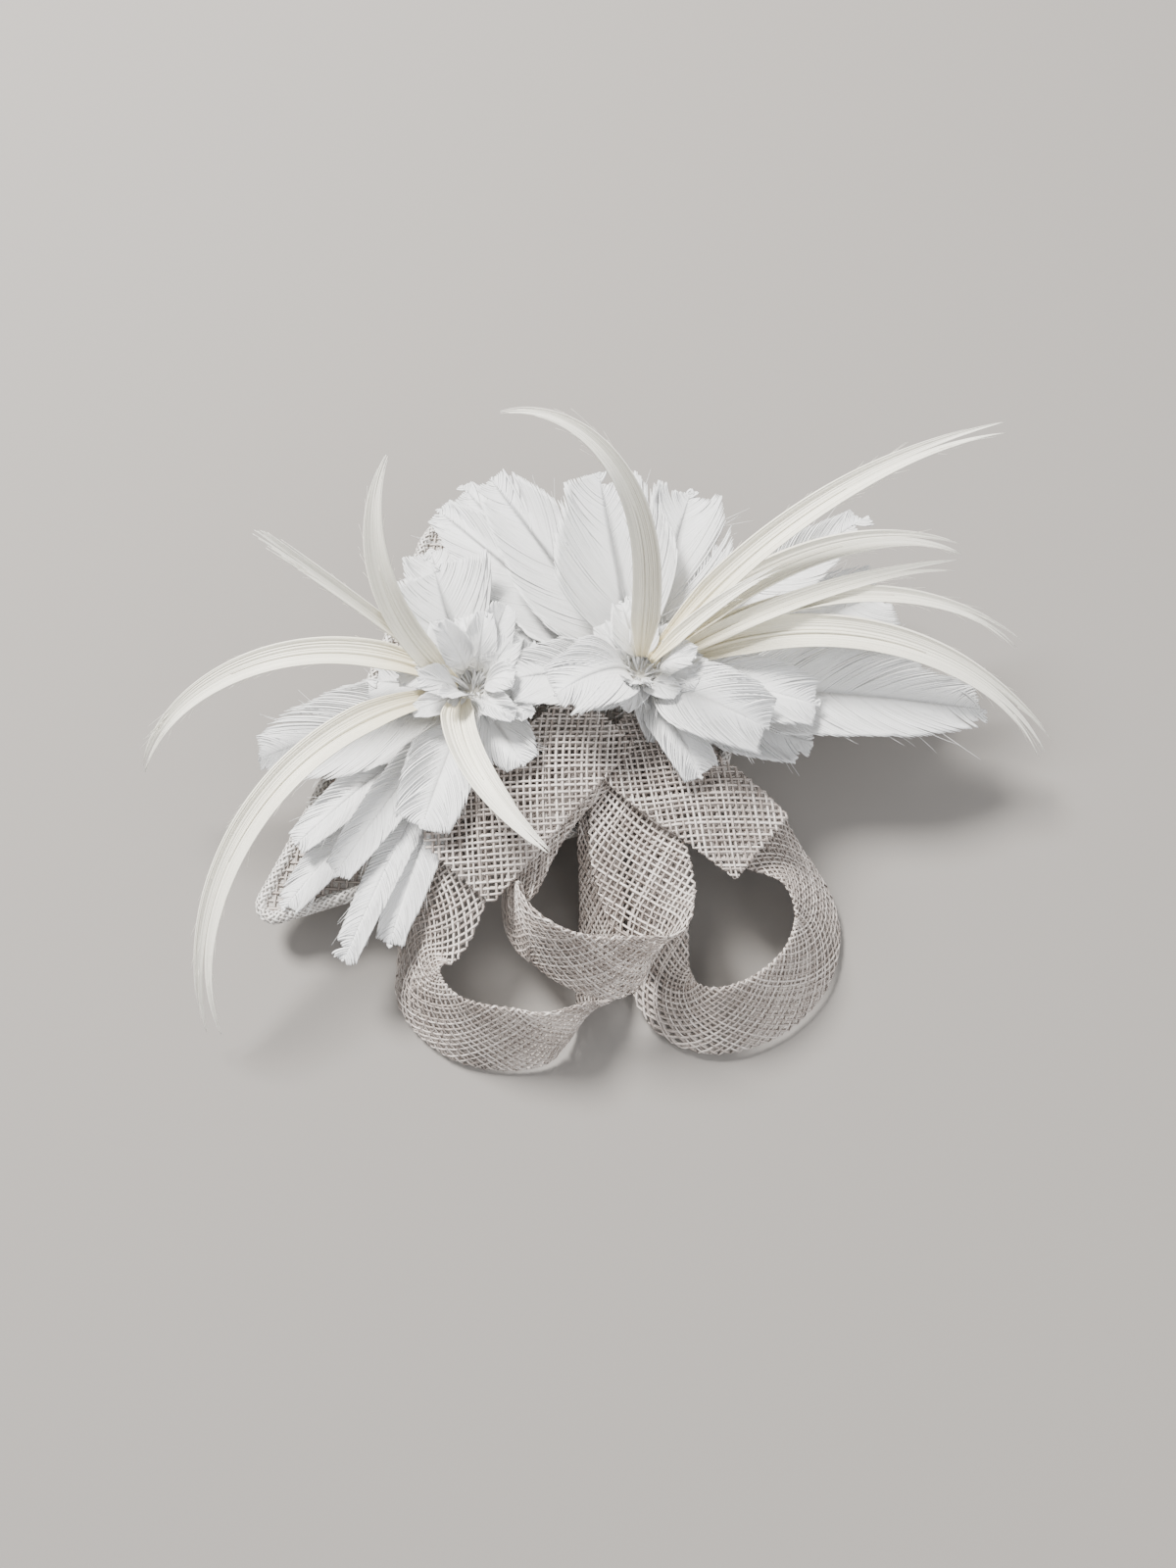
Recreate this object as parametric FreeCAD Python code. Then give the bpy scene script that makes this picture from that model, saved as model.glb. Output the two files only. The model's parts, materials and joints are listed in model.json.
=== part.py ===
import FreeCAD, Part
import os
from math import radians, sin, cos, sqrt

os.makedirs("parts", exist_ok=True)
Vector = FreeCAD.Vector

# ---------------------------------------------------------------- driving sizes, mm
# The base is a shallow domed leaf: two round corners, one point, and a hollow left edge.
POINT_RADIUS = 2.5
RIGHT_RADIUS = 13.0
BACK_RADIUS = 14.0
BASE_CORNERS = [           # x, y, radius, and how far the edge after it is hollowed
    (-59.5, -39.0, POINT_RADIUS, 0.0),
    (14.0, -7.0, RIGHT_RADIUS, 0.0),
    (-21.0, 31.0, BACK_RADIUS, 2.5),
]
BASE_TOP = 13.9            # height of the cover at the top of the dome
DOME_X = -2.0
DOME_Y = 10.0
DOME_RADIUS = 600.0
FORM_THICK = 1.5
COVER_THICK = 0.5
FELT_THICK = 2.0
BINDING_WIDE = 2.6
BINDING_HIGH = 3.4

# Feathers.
BLADE_THICK = 0.35
QUILL_WIDE = 1.0
CORE_RADIUS = 4.2
QUILL_DEEP = 1.6           # how far a quill is set into its core
CORE_MAIN_HIGH = 26.0
CORE_LEFT_HIGH = 24.0

# Ribbons.
RIBBON_WIDE = 19.0
RIBBON_THICK = 0.7
RIBBON_STEPS = 3           # flat panels from one station to the next

# Hair clip.
CLIP_LONG = 44.0
CLIP_WIDE = 9.0
SHEET = 0.8                # clip metal
HINGE_X = -15.0
HINGE_Z = 5.6
PIN_RADIUS = 0.9
PIN_FIT = 0.06             # radial play of the hinge
PAD_LONG = 10.0
SPRING_WIRE = 0.3          # radius
SPRING_RADIUS = 1.9
SPRING_TURNS = 3.5

CORES = {
    "main": (10.0, 2.5, 13.6),
    "left": (-22.0, 0.0, 13.1),
}

# name: core, height of the root on the core, azimuth, pitch, length, width, bend, sweep, late
# "late" above 1 keeps the first part straight and gathers the curl towards the tip.
BIOTS = {
    "biot_top": ("main", 11.0, 88, 90, 70, 4.4, -92, 104, 2.0),
    "biot_right_high": ("main", 11.0, 44, 40, 79, 4.4, -46, -28, 1.0),
    "biot_right_back": ("main", 10.2, 39, 38, 71, 5.0, -74, -36, 1.0),
    "biot_right_thin": ("main", 9.4, 20, 34, 65, 3.2, -62, -2, 1.0),
    "biot_right_split": ("main", 8.6, 27, 34, 81, 3.4, -76, -44, 1.0),
    "biot_right_front": ("main", 7.8, 18, 31, 88, 6.0, -76, -56, 1.0),
    "biot_right_wisp": ("main", 11.8, 32, 50, 30, 2.4, -30, -12, 1.0),
    "biot_left_high": ("left", 7.6, 164, 44, 74, 4.8, -96, 62, 1.0),
    "biot_left_low": ("left", 6.8, -159, 40, 94, 5.2, -100, 70, 1.0),
    "biot_left_rear": ("left", 9.8, 172, 60, 49, 4.4, -20, -116, 1.0),
    "biot_left_stick": ("left", 8.6, 160, 56, 49, 2.4, -14, 0, 1.0),
    "biot_front": ("left", 8.8, -120, 75, 44, 5.2, -85, 80, 0.5),
}

# name: core, root height, azimuth, pitch, length, width, bend, sweep, tip width ratio
PETALS = {
    "petal_back_1": ("main", 2.0, 139, 19, 52, 14, -20, 0, 0.2),
    "petal_back_2": ("main", 3.4, 127, 24, 48, 16, -20, 0, 0.2),
    "petal_back_3": ("main", 0.8, 129, 12, 56, 10, -20, 0, 0.25),
    "petal_back_4": ("main", 5.4, 103, 38, 38, 21, -20, 0, 0.35),
    "petal_back_5": ("main", 3.4, 74, 34, 37, 21, -20, 0, 0.4),
    "petal_back_6": ("main", 0.8, 56, 8, 34, 14, -16, 0, 0.5),
    "petal_back_7": ("main", 3.8, 36, 16, 54, 11, -16, 0, 0.3),
    "petal_right_1": ("main", 2.6, 22, 9, 53, 16, -20, 0, 0.6),
    "petal_right_2": ("main", 1.6, 7, 6, 56, 17, -20, 0, 0.5),
    "petal_right_3": ("main", 3.6, -5, 11, 65, 17, -20, 0, 0.2),
    "petal_right_4": ("main", 0.8, -18, 4, 33, 13, -8, 0, 0.5),
    "petal_curl_1": ("main", 8.2, -42, 60, 28, 13, -95, 25, 0.6),
    "petal_curl_2": ("main", 5.2, -12, 40, 34, 12, -65, 0, 0.5),
    "petal_curl_3": ("main", 8.4, -150, 96, 24, 13, -120, 0, 0.5),
    "petal_curl_4": ("main", 6.0, -172, 49, 25, 12, -60, 0, 0.5),
    "petal_front": ("main", 7.0, -63, 38, 23, 8, -60, 0, 0.6),
    "petal_left_1": ("left", 5.0, 109, 34, 24, 21, -20, 0, 0.75),
    "petal_left_2": ("left", 1.2, 107, 11, 33, 13, -20, 0, 0.6),
    "petal_left_3": ("left", 4.4, 66, 12, 22, 12, -6, 0, 0.5),
    "petal_left_4": ("left", 5.4, 176, 20, 18, 10, -20, 0, 0.6),
    "petal_left_5": ("left", 3.6, -163, 11, 41, 17, -24, 0, 0.3),
    "petal_finger_1": ("left", 2.6, -138, 10, 42, 8, -20, 0, 0.4),
    "petal_finger_2": ("left", 1.4, -131, 8, 52, 8, -25, 0, 0.4),
    "petal_finger_3": ("left", 4.4, -124, 14, 42, 8, -25, 0, 0.4),
    "petal_finger_4": ("left", 3.4, -114, 10, 54, 6, -26, 0, 0.6),
    "petal_finger_5": ("left", 2.2, -107, 12, 49, 8, -30, 0, 0.4),
    "petal_under": ("left", 5.4, -106, 22, 28, 12, -24, 0, 0.6),
    "petal_gap_1": ("main", 3.6, 176, 16, 19, 10, -16, 0, 0.6),
    "petal_gap_2": ("left", 2.2, 22, 16, 16, 9, -16, 0, 0.6),
    "petal_inner_1": ("left", 6.4, -58, 34, 18, 10, -40, 0, 0.4),
    "petal_inner_2": ("left", 7.0, 60, 52, 17, 7, -10, 0, 0.4),
}

# Ribbons: stations of centre x, y, z, the direction across the ribbon, and its width ratio.
# The first and last stations of a loop are in the tied stack.
LOOPS = {
    "ribbon_loop_left": [
        (5.0, -7.5, 14.5, 1.0, 0.0, 0.0, 0.47),
        (2.5, -12.5, 14.7, 0.85, -0.5, 0.0, 0.5),
        (-8.0, -17.0, 15.3, 0.5, -0.85, 0.05, 0.62),
        (-21.5, -24.5, 15.8, 0.7, -0.7, 0.05, 0.75),
        (-27.0, -40.0, 14.4, 0.9, -0.16, 0.3, 0.9),
        (-31.0, -48.0, 10.4, 0.62, 0.1, 0.78, 1.0),
        (-31.0, -56.0, 9.2, 0.45, 0.3, 0.84, 1.0),
        (-24.0, -62.5, 8.9, 0.15, 0.5, 0.85, 1.0),
        (-13.0, -64.5, 8.9, 0.0, 0.5, 0.87, 1.0),
        (-5.0, -63.0, 8.9, 0.1, 0.4, 0.9, 0.85),
        (0.3, -58.5, 5.1, 0.6, 0.5, 0.5, 0.55),
        (2.2, -51.0, 4.0, 0.9, 0.1, 0.35, 0.48),
        (2.5, -40.0, 5.6, 0.97, 0.0, 0.2, 0.45),
        (2.5, -33.5, 10.0, 1.0, 0.0, 0.1, 0.45),
        (2.3, -27.0, 14.6, 1.0, 0.0, 0.0, 0.45),
        (4.0, -16.0, 15.4, 1.0, 0.0, 0.0, 0.45),
        (5.0, -7.5, 15.4, 1.0, 0.0, 0.0, 0.47),
    ],
    "ribbon_loop_right": [
        (5.0, -7.5, 16.4, -1.0, 0.0, 0.0, 0.47),
        (8.0, -12.8, 16.4, -0.85, -0.5, 0.0, 0.5),
        (17.0, -17.5, 16.3, -0.45, -0.88, 0.0, 0.65),
        (29.0, -24.5, 14.4, -0.6, -0.7, 0.2, 0.9),
        (39.0, -32.5, 11.5, -0.6, -0.15, 0.75, 0.9),
        (43.3, -42.0, 8.6, -0.62, 0.15, 0.8, 0.95),
        (41.0, -51.0, 8.3, -0.55, 0.35, 0.8, 0.95),
        (33.5, -58.0, 8.3, -0.4, 0.5, 0.8, 0.95),
        (24.5, -61.0, 8.3, -0.1, 0.6, 0.8, 0.92),
        (17.5, -59.0, 6.6, 0.35, 0.55, 0.7, 0.8),
        (13.8, -53.0, 5.4, 0.85, 0.2, 0.4, 0.65),
        (13.5, -44.0, 7.0, 0.95, 0.0, 0.3, 0.6),
        (13.5, -36.0, 10.0, 0.95, 0.0, 0.2, 0.55),
        (12.5, -28.0, 14.8, 1.0, 0.0, 0.0, 0.5),
        (7.0, -17.0, 17.3, 1.0, 0.0, 0.0, 0.45),
        (5.0, -7.5, 17.3, 1.0, 0.0, 0.0, 0.47),
    ],
    "ribbon_loop_middle": [
        (5.0, -7.5, 18.3, 1.0, 0.0, 0.0, 0.47),
        (5.6, -12.5, 18.4, 1.0, 0.0, 0.0, 0.5),
        (7.5, -20.5, 18.3, 0.95, 0.1, 0.05, 0.75),
        (9.0, -30.0, 17.2, 0.95, 0.0, 0.2, 0.95),
        (11.5, -41.0, 16.6, 0.8, 0.1, 0.5, 1.0),
        (12.5, -49.0, 17.6, 0.4, 0.35, 0.85, 1.0),
        (5.5, -53.0, 18.6, 0.1, 0.45, 0.89, 1.0),
        (-3.0, -51.5, 18.6, 0.1, 0.35, 0.93, 1.0),
        (-10.5, -46.5, 18.4, 0.15, 0.25, 0.95, 0.95),
        (-14.0, -39.5, 13.6, 0.35, 0.1, 0.93, 0.68),
        (-10.5, -32.0, 17.3, 0.85, -0.4, 0.1, 0.42),
        (-5.0, -22.0, 18.0, 0.85, -0.5, 0.05, 0.48),
        (3.5, -13.5, 19.2, 0.95, -0.25, 0.0, 0.45),
        (5.0, -7.5, 19.2, 1.0, 0.0, 0.0, 0.47),
    ],
}

TAILS = {
    "ribbon_tail_left": [
        (3.5, -6.0, 21.4, 0.6, -0.8, 0.0, 0.85),
        (-5.0, -14.0, 21.6, 0.75, -0.66, 0.0, 0.95),
        (-14.5, -24.0, 20.8, 0.75, -0.66, 0.0, 1.0),
        (-24.5, -35.5, 19.4, 0.75, -0.66, 0.0, 1.0),
    ],
    "ribbon_tail_right": [
        (4.0, -9.0, 20.3, -0.5, -0.85, 0.0, 0.8),
        (13.0, -15.8, 20.6, -0.55, -0.83, 0.0, 0.92),
        (22.0, -22.5, 20.9, -0.6, -0.8, 0.0, 0.92),
        (32.0, -31.0, 19.8, -0.62, -0.78, 0.0, 0.85),
    ],
}


# ---------------------------------------------------------------- lines through space
def unit(v):
    size = sqrt(v[0] ** 2 + v[1] ** 2 + v[2] ** 2)
    return (v[0] / size, v[1] / size, v[2] / size)


def cross(a, b):
    return (a[1] * b[2] - a[2] * b[1], a[2] * b[0] - a[0] * b[2], a[0] * b[1] - a[1] * b[0])


def dot(a, b):
    return a[0] * b[0] + a[1] * b[1] + a[2] * b[2]


def spine(root, azimuth, pitch, length, bend, sweep, late, stations):
    """A quill: it leaves the root at azimuth and pitch, and turns along its length.
    Gives the position, the direction and the side direction at each station."""
    fine = 12
    steps = (stations - 1) * fine
    x, y, z = root
    rows = []
    for i in range(steps + 1):
        s = i / steps
        a = radians(azimuth + sweep * s ** late)
        e = radians(pitch + bend * s ** late)
        ahead = (cos(e) * cos(a), cos(e) * sin(a), sin(e))
        if i % fine == 0:
            rows.append(((x, y, z), ahead, (-sin(a), cos(a), 0.0)))
        s = (i + 0.5) / steps
        a = radians(azimuth + sweep * s ** late)
        e = radians(pitch + bend * s ** late)
        step = length / steps
        x += cos(e) * cos(a) * step
        y += cos(e) * sin(a) * step
        z += sin(e) * step
    return rows


def feather_sections(core, up, azimuth, pitch, length, width, bend, sweep, late, tip, stations):
    """Stations of a feather blade: centre, side direction, upward direction, width."""
    cx, cy, cz = CORES[core]
    start = CORE_RADIUS - QUILL_DEEP
    a = radians(azimuth)
    root = (cx + start * cos(a), cy + start * sin(a), cz + up)
    rows = []
    line = spine(root, azimuth, pitch, length, bend, sweep, late, stations)
    for i, (at, ahead, side) in enumerate(line):
        s = i / (stations - 1)
        if tip is None:
            fill = min(1.0, 0.25 + 3.0 * s) * max(0.0, 1 - s ** 3.0) ** 0.9
        else:
            fill = min(1.0, 0.08 + 2.2 * s) * (1 - (1 - tip) * (max(0.0, s - 0.55) / 0.45) ** 2)
        rows.append((at, side, cross(ahead, side), max(fill * width, QUILL_WIDE if s < 0.5 else 0.5)))
    return rows


def even_curve(rows, per_step):
    """A smooth curve through the rows, with per_step stations from one row to the next."""
    last = len(rows) - 1
    out = []
    for i in range(last * per_step + 1):
        k = min(i // per_step, last - 1)
        f = i / per_step - k
        b, c = rows[k], rows[k + 1]
        a = rows[k - 1] if k > 0 else tuple(2 * p - q for p, q in zip(b, c))
        d = rows[k + 2] if k + 2 <= last else tuple(2 * q - p for p, q in zip(b, c))
        out.append(tuple(
            q + 0.5 * f * (r - p + f * (2 * p - 5 * q + 4 * r - t + f * (3 * (q - r) + t - p)))
            for p, q, r, t in zip(a, b, c, d)))
    return out


def ribbon_sections(rows, width):
    """Stations of a ribbon, with its side direction squared to the line it follows."""
    rows = even_curve(rows, RIBBON_STEPS)
    count = len(rows)
    out = []
    for i, (x, y, z, wx, wy, wz, ratio) in enumerate(rows):
        before = rows[max(0, i - 1)]
        after = rows[min(count - 1, i + 1)]
        ahead = unit(tuple(after[k] - before[k] for k in range(3)))
        side = unit((wx, wy, wz))
        along = dot(side, ahead)
        side = unit(tuple(side[k] - along * ahead[k] for k in range(3)))
        out.append(((x, y, z), side, cross(ahead, side), width * ratio))
    return out


# ---------------------------------------------------------------- solids
def frame_loft(sections, thick, smooth=True):
    """A thin solid through rectangles set square to a line."""
    wires = []
    for at, side, over, width in sections:
        p = Vector(*at)
        w = Vector(*side) * (width / 2)
        t = Vector(*over) * (thick / 2)
        wires.append(Part.makePolygon([p - w - t, p + w - t, p + w + t, p - w + t, p - w - t]))
    solid = Part.makeLoft(wires, True, not smooth)
    return solid if solid.Volume > 0 else solid.reversed()


def box(x0, x1, y0, y1, z0, z1):
    return Part.makeBox(x1 - x0, y1 - y0, z1 - z0, Vector(x0, y0, z0))


def rod_y(x, z, radius, y0, y1):
    return Part.makeCylinder(radius, y1 - y0, Vector(x, y0, z), Vector(0, 1, 0))


def fuse(pieces):
    first = pieces[0]
    return first.multiFuse(pieces[1:]).removeSplitter()


def leaf(grow, z0, z1):
    """The outline of the base, moved outwards by grow, as an upright block."""
    corners = [(Vector(x, y, z0), max(0.6, r + grow), hollow) for x, y, r, hollow in BASE_CORNERS]
    count = len(corners)
    normals = []
    for i in range(count):
        here, near, _ = corners[i]
        there, far, _ = corners[(i + 1) % count]
        gap = (there - here).Length
        ahead = (there - here) / gap
        lean = (near - far) / gap
        normals.append(ahead * lean + Vector(ahead.y, -ahead.x, 0) * sqrt(1 - lean ** 2))
    edges = []
    for i in range(count):
        here, near, hollow = corners[i]
        there, far, _ = corners[(i + 1) % count]
        before, after = normals[i - 1], normals[i]
        middle = (before + after).normalize()
        edges.append(Part.Arc(here + before * near, here + middle * near, here + after * near).toShape())
        start, end = here + after * near, there + after * far
        if hollow:
            edges.append(Part.Arc(start, (start + end) / 2 - after * hollow, end).toShape())
        else:
            edges.append(Part.makeLine(start, end))
    return Part.Face(Part.Wire(edges)).extrude(Vector(0, 0, z1 - z0))


def dome(under):
    """A ball whose skin is the top of the base, lowered by under."""
    centre = Vector(DOME_X, DOME_Y, BASE_TOP - DOME_RADIUS)
    return Part.makeSphere(DOME_RADIUS - under, centre)


def shell(grow, top, bottom):
    """A domed sheet between two depths under the top of the base."""
    return leaf(grow, -10, 30).common(dome(top)).cut(dome(bottom))


def feather(row, tip, stations, late=1.0):
    if tip is None:
        sections = feather_sections(*row, None, stations)
    else:
        sections = feather_sections(*row, late, tip, stations)
    return frame_loft(sections, BLADE_THICK)


nodes = {}

# Feathers.
for name, row in BIOTS.items():
    nodes[name] = feather(row, None, 11)
for name, row in PETALS.items():
    nodes[name] = feather(row[:-1], row[-1], 7)

# Ribbons.
for group in (LOOPS, TAILS):
    for name, rows in group.items():
        nodes[name] = frame_loft(ribbon_sections(rows, RIBBON_WIDE), RIBBON_THICK, False)

# Base: stiff form, woven cover on top, bound edge, felt under it.
form_top = COVER_THICK
form_bottom = form_top + FORM_THICK
felt_bottom = form_bottom + FELT_THICK
nodes["base_form"] = shell(0, form_top, form_bottom)
nodes["base_cover"] = shell(0, 0, form_top)
edge_top = -(BINDING_HIGH - COVER_THICK - FORM_THICK) / 2
ring = shell(BINDING_WIDE / 2, edge_top, edge_top + BINDING_HIGH)
ring = ring.cut(leaf(-BINDING_WIDE / 2, -10, 30))
nodes["base_binding"] = ring.cut(shell(0, 0, form_bottom))
felt = shell(-3.0, form_bottom, felt_bottom)

# Glue and wadding cores that hold the quills.
for key, high in (("main", CORE_MAIN_HIGH), ("left", CORE_LEFT_HIGH)):
    cx, cy, cz = CORES[key]
    stub = Part.makeCylinder(CORE_RADIUS, high - 10, Vector(cx, cy, 10))
    cap = Part.makeSphere(CORE_RADIUS, Vector(cx, cy, high))
    cap = cap.common(box(cx - 9, cx + 9, cy - 9, cy + 9, high, high + 3))
    stub = stub.fuse(cap).cut(dome(0))
    for name, row in list(BIOTS.items()) + list(PETALS.items()):
        if row[0] == key:
            stub = stub.cut(nodes[name])
    nodes["core_" + key] = stub

# Thread round the tied ends of the loops.
tie_x, tie_y = 5.0, -7.9
outer = box(tie_x - 6.0, tie_x + 6.0, tie_y - 0.6, tie_y + 0.6, 13.7, 19.85)
inner = box(tie_x - 5.5, tie_x + 5.5, tie_y - 1.0, tie_y + 1.0, 14.05, 19.6)
nodes["loop_tie"] = outer.cut(inner)

# Hair clip: a plate sewn to the felt, and a sprung jaw under it.
clip_left = HINGE_X - 29.0
plate_top = 9.5
plate_bottom = plate_top - SHEET
half = CLIP_WIDE / 2
plate = box(clip_left, clip_left + CLIP_LONG, -half, half, plate_bottom, plate_top)
lugs = []
for side in (-1, 1):
    y = side * (half - SHEET / 2)
    lug = box(HINGE_X - 3.0, HINGE_X + 3.0, y - SHEET / 2, y + SHEET / 2, HINGE_Z, plate_bottom + 0.1)
    lug = lug.fuse(rod_y(HINGE_X, HINGE_Z, 3.0, y - SHEET / 2, y + SHEET / 2))
    lugs.append(lug)
plate = fuse([plate] + lugs)
nodes["clip_plate"] = plate.cut(rod_y(HINGE_X, HINGE_Z, PIN_RADIUS, -9, 9))
pin = rod_y(HINGE_X, HINGE_Z, PIN_RADIUS, -half - 0.3, half + 0.3)
heads = [rod_y(HINGE_X, HINGE_Z, PIN_RADIUS + 0.5, s - 0.25, s + 0.25) for s in (-half - 0.3, half + 0.3)]
nodes["clip_pin"] = fuse([pin] + heads)

# The jaw's side view is a bent strip: grip, jaw, shoulder, slope and thumb pad.
jaw_half = half - SHEET - 0.4
grip_x = clip_left + 1.0
jaw_top = plate_bottom - 0.35
profile = [
    (grip_x, jaw_top - 1.2), (grip_x, jaw_top), (grip_x + 2.5, jaw_top),
    (HINGE_X - 6.0, HINGE_Z + 0.9), (HINGE_X + 2.0, HINGE_Z - 2.9),
    (-PAD_LONG / 2, SHEET), (PAD_LONG / 2, SHEET), (PAD_LONG / 2, 0), (-PAD_LONG / 2 - 0.3, 0),
    (HINGE_X + 1.6, HINGE_Z - 3.7), (HINGE_X - 6.0, HINGE_Z + 0.1), (grip_x + 2.5, jaw_top - SHEET),
    (grip_x + SHEET, jaw_top - SHEET), (grip_x + SHEET, jaw_top - 1.2),
]
points = [Vector(x, -jaw_half, z) for x, z in profile]
strip = Part.Face(Part.makePolygon(points + points[:1])).extrude(Vector(0, 2 * jaw_half, 0))
ears = []
for side in (-1, 1):
    y = side * (jaw_half - SHEET / 2)
    ear = rod_y(HINGE_X, HINGE_Z, 2.2, y - SHEET / 2, y + SHEET / 2)
    web = box(HINGE_X - 1.6, HINGE_X + 1.6, y - SHEET / 2, y + SHEET / 2, HINGE_Z - 2.0, HINGE_Z)
    ears += [ear, web]
jaw = fuse([strip] + ears)
window_half = jaw_half - SHEET - 0.4
jaw = jaw.cut(box(HINGE_X - 3.2, HINGE_X + 3.2, -window_half, window_half, -1, 12))
nodes["clip_jaw"] = jaw.cut(rod_y(HINGE_X, HINGE_Z, PIN_RADIUS + PIN_FIT, -9, 9))

# The spring: a coil round the pin, one leg under the plate and one behind the thumb slope.
coil_pitch = 2 * SPRING_WIRE + 0.25
coil_long = coil_pitch * SPRING_TURNS
across = Vector(0, 1, 0)
wire = [(Vector(HINGE_X + 8.0, -coil_long / 2, plate_bottom - SPRING_WIRE - 0.1), Vector(0, 0, 1))]
turn_steps = 16
for i in range(int(SPRING_TURNS * turn_steps) + 1):
    angle = radians(90 + 360 * i / turn_steps)
    out = Vector(cos(angle), 0, sin(angle))
    along = Vector(HINGE_X, coil_pitch * i / turn_steps - coil_long / 2, HINGE_Z)
    wire.append((along + out * SPRING_RADIUS, out))
wire.append((Vector(HINGE_X + 7.0, coil_long / 2, HINGE_Z - 3.2), Vector(0, 0, -1)))
rings = []
for at, out in wire:
    corners = []
    for side in range(8):
        angle = radians(45 * side)
        corners.append(at + out * (SPRING_WIRE * cos(angle)) + across * (SPRING_WIRE * sin(angle)))
    rings.append(Part.makePolygon(corners + corners[:1]))
spring = Part.makeLoft(rings, True, True)
nodes["clip_spring"] = spring if spring.Volume > 0 else spring.reversed()

# Stitches: bars of thread over the plate with their legs in the felt, and a running thread.
stitch_x = (clip_left + 6.0, clip_left + 15.0, clip_left + 40.0)
thread = box(stitch_x[0], stitch_x[-1], half, half + 0.5, plate_bottom - 0.2, plate_bottom + 0.3)
pieces = [thread]
for x in stitch_x:
    pieces.append(box(x - 0.4, x + 0.4, -half - 0.5, half + 0.5, plate_bottom - 0.2, plate_bottom))
    for y in (-half - 0.25, half + 0.25):
        pieces.append(box(x - 0.4, x + 0.4, y - 0.25, y + 0.25, plate_bottom - 0.2, plate_top + 0.4))
nodes["clip_stitches"] = fuse(pieces)
nodes["felt_pad"] = felt.cut(plate).cut(nodes["clip_stitches"])

for name, shape in nodes.items():
    shape.exportStep("parts/" + name + ".step")
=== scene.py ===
import json
import math
import zlib

import bpy
import numpy as np
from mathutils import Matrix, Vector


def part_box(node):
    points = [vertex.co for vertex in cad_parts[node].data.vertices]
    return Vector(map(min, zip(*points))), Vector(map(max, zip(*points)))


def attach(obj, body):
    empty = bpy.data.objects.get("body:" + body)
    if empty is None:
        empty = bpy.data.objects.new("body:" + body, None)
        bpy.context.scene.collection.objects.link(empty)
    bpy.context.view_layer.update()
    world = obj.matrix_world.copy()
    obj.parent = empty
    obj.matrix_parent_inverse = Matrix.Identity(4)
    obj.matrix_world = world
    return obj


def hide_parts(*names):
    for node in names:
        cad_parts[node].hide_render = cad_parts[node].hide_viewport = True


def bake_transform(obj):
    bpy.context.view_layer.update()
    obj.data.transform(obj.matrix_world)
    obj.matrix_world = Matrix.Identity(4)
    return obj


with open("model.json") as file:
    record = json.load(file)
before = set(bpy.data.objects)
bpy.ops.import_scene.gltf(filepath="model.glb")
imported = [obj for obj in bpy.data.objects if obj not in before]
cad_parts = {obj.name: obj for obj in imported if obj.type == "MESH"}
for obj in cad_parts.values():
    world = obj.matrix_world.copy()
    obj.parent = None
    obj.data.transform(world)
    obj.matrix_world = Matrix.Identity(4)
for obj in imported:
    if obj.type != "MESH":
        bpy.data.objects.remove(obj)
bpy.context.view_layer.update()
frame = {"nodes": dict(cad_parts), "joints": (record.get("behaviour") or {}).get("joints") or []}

MM = 0.001
UP = (0.0, 0.0, 1.0)
ROOT_BODY = "fascinator"

# ---------------------------------------------------------------- sizes in mm, as in the CAD model
CORE_RADIUS = 4.2
QUILL_DEEP = 1.6
ROOT_ABOVE_CORE_TOP = {"main": 13.6 - 29.0, "left": 13.1 - 27.0}
RIBBON_WIDE = 19.0
BASE_CORNERS = [           # x, y, radius, and how far the edge after it is hollowed
    (-59.5, -39.0, 2.5, 0.0),
    (14.0, -7.0, 13.0, 0.0),
    (-21.0, 31.0, 14.0, 2.5),
]
DOME_CENTRE = (-2.0, 10.0)
WEAVE_ANGLE = 220.0        # degrees, the diagonal of the cover's weave
BASE_TOP = 13.9
DOME_RADIUS = 600.0
COVER_THICK = 0.5
FORM_THICK = 1.5
FELT_THICK = 2.0
FELT_INSET = 3.0
BINDING_WIDE = 2.6
BINDING_HIGH = 3.4
SPRING_WIRE = 0.3
SPRING_RADIUS = 1.9
SPRING_TURNS = 3.5

WADDING_DROP = 7.8         # from the core's top down to its wadding, and to the foot of its tuft
TUFT_DROP = 7.4
CLIP_SHEET = 0.8

# name: core, height of the root on the core, azimuth, pitch, length, width, bend, sweep, late
BIOTS = {
    "biot_top": ("main", 11, 88, 90, 70, 4.4, -92, 104, 2),
    "biot_right_high": ("main", 11, 44, 40, 79, 4.4, -46, -28, 1),
    "biot_right_back": ("main", 10.2, 39, 38, 71, 5, -74, -36, 1),
    "biot_right_thin": ("main", 9.4, 20, 34, 65, 3.2, -62, -2, 1),
    "biot_right_split": ("main", 8.6, 27, 34, 81, 3.4, -76, -44, 1),
    "biot_right_front": ("main", 7.8, 18, 31, 88, 6, -76, -56, 1),
    "biot_right_wisp": ("main", 11.8, 32, 50, 30, 2.4, -30, -12, 1),
    "biot_left_high": ("left", 7.6, 164, 44, 74, 4.8, -96, 62, 1),
    "biot_left_low": ("left", 6.8, -159, 40, 94, 5.2, -100, 70, 1),
    "biot_left_rear": ("left", 9.8, 172, 60, 49, 4.4, -20, -116, 1),
    "biot_left_stick": ("left", 8.6, 160, 56, 49, 2.4, -14, 0, 1),
    "biot_front": ("left", 8.8, -120, 75, 44, 5.2, -85, 80, 0.5),
}

# How far the tip parts into separate points, mm, and into how many.
SPLIT_TIPS = {
    "biot_right_front": (5, 3),
    "biot_right_high": (1.6, 2),
    "biot_right_split": (2, 3),
    "biot_left_low": (3, 2),
    "biot_right_thin": (1.6, 2),
    "biot_right_back": (2.4, 3),
    "biot_left_high": (1.6, 2),
}

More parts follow.
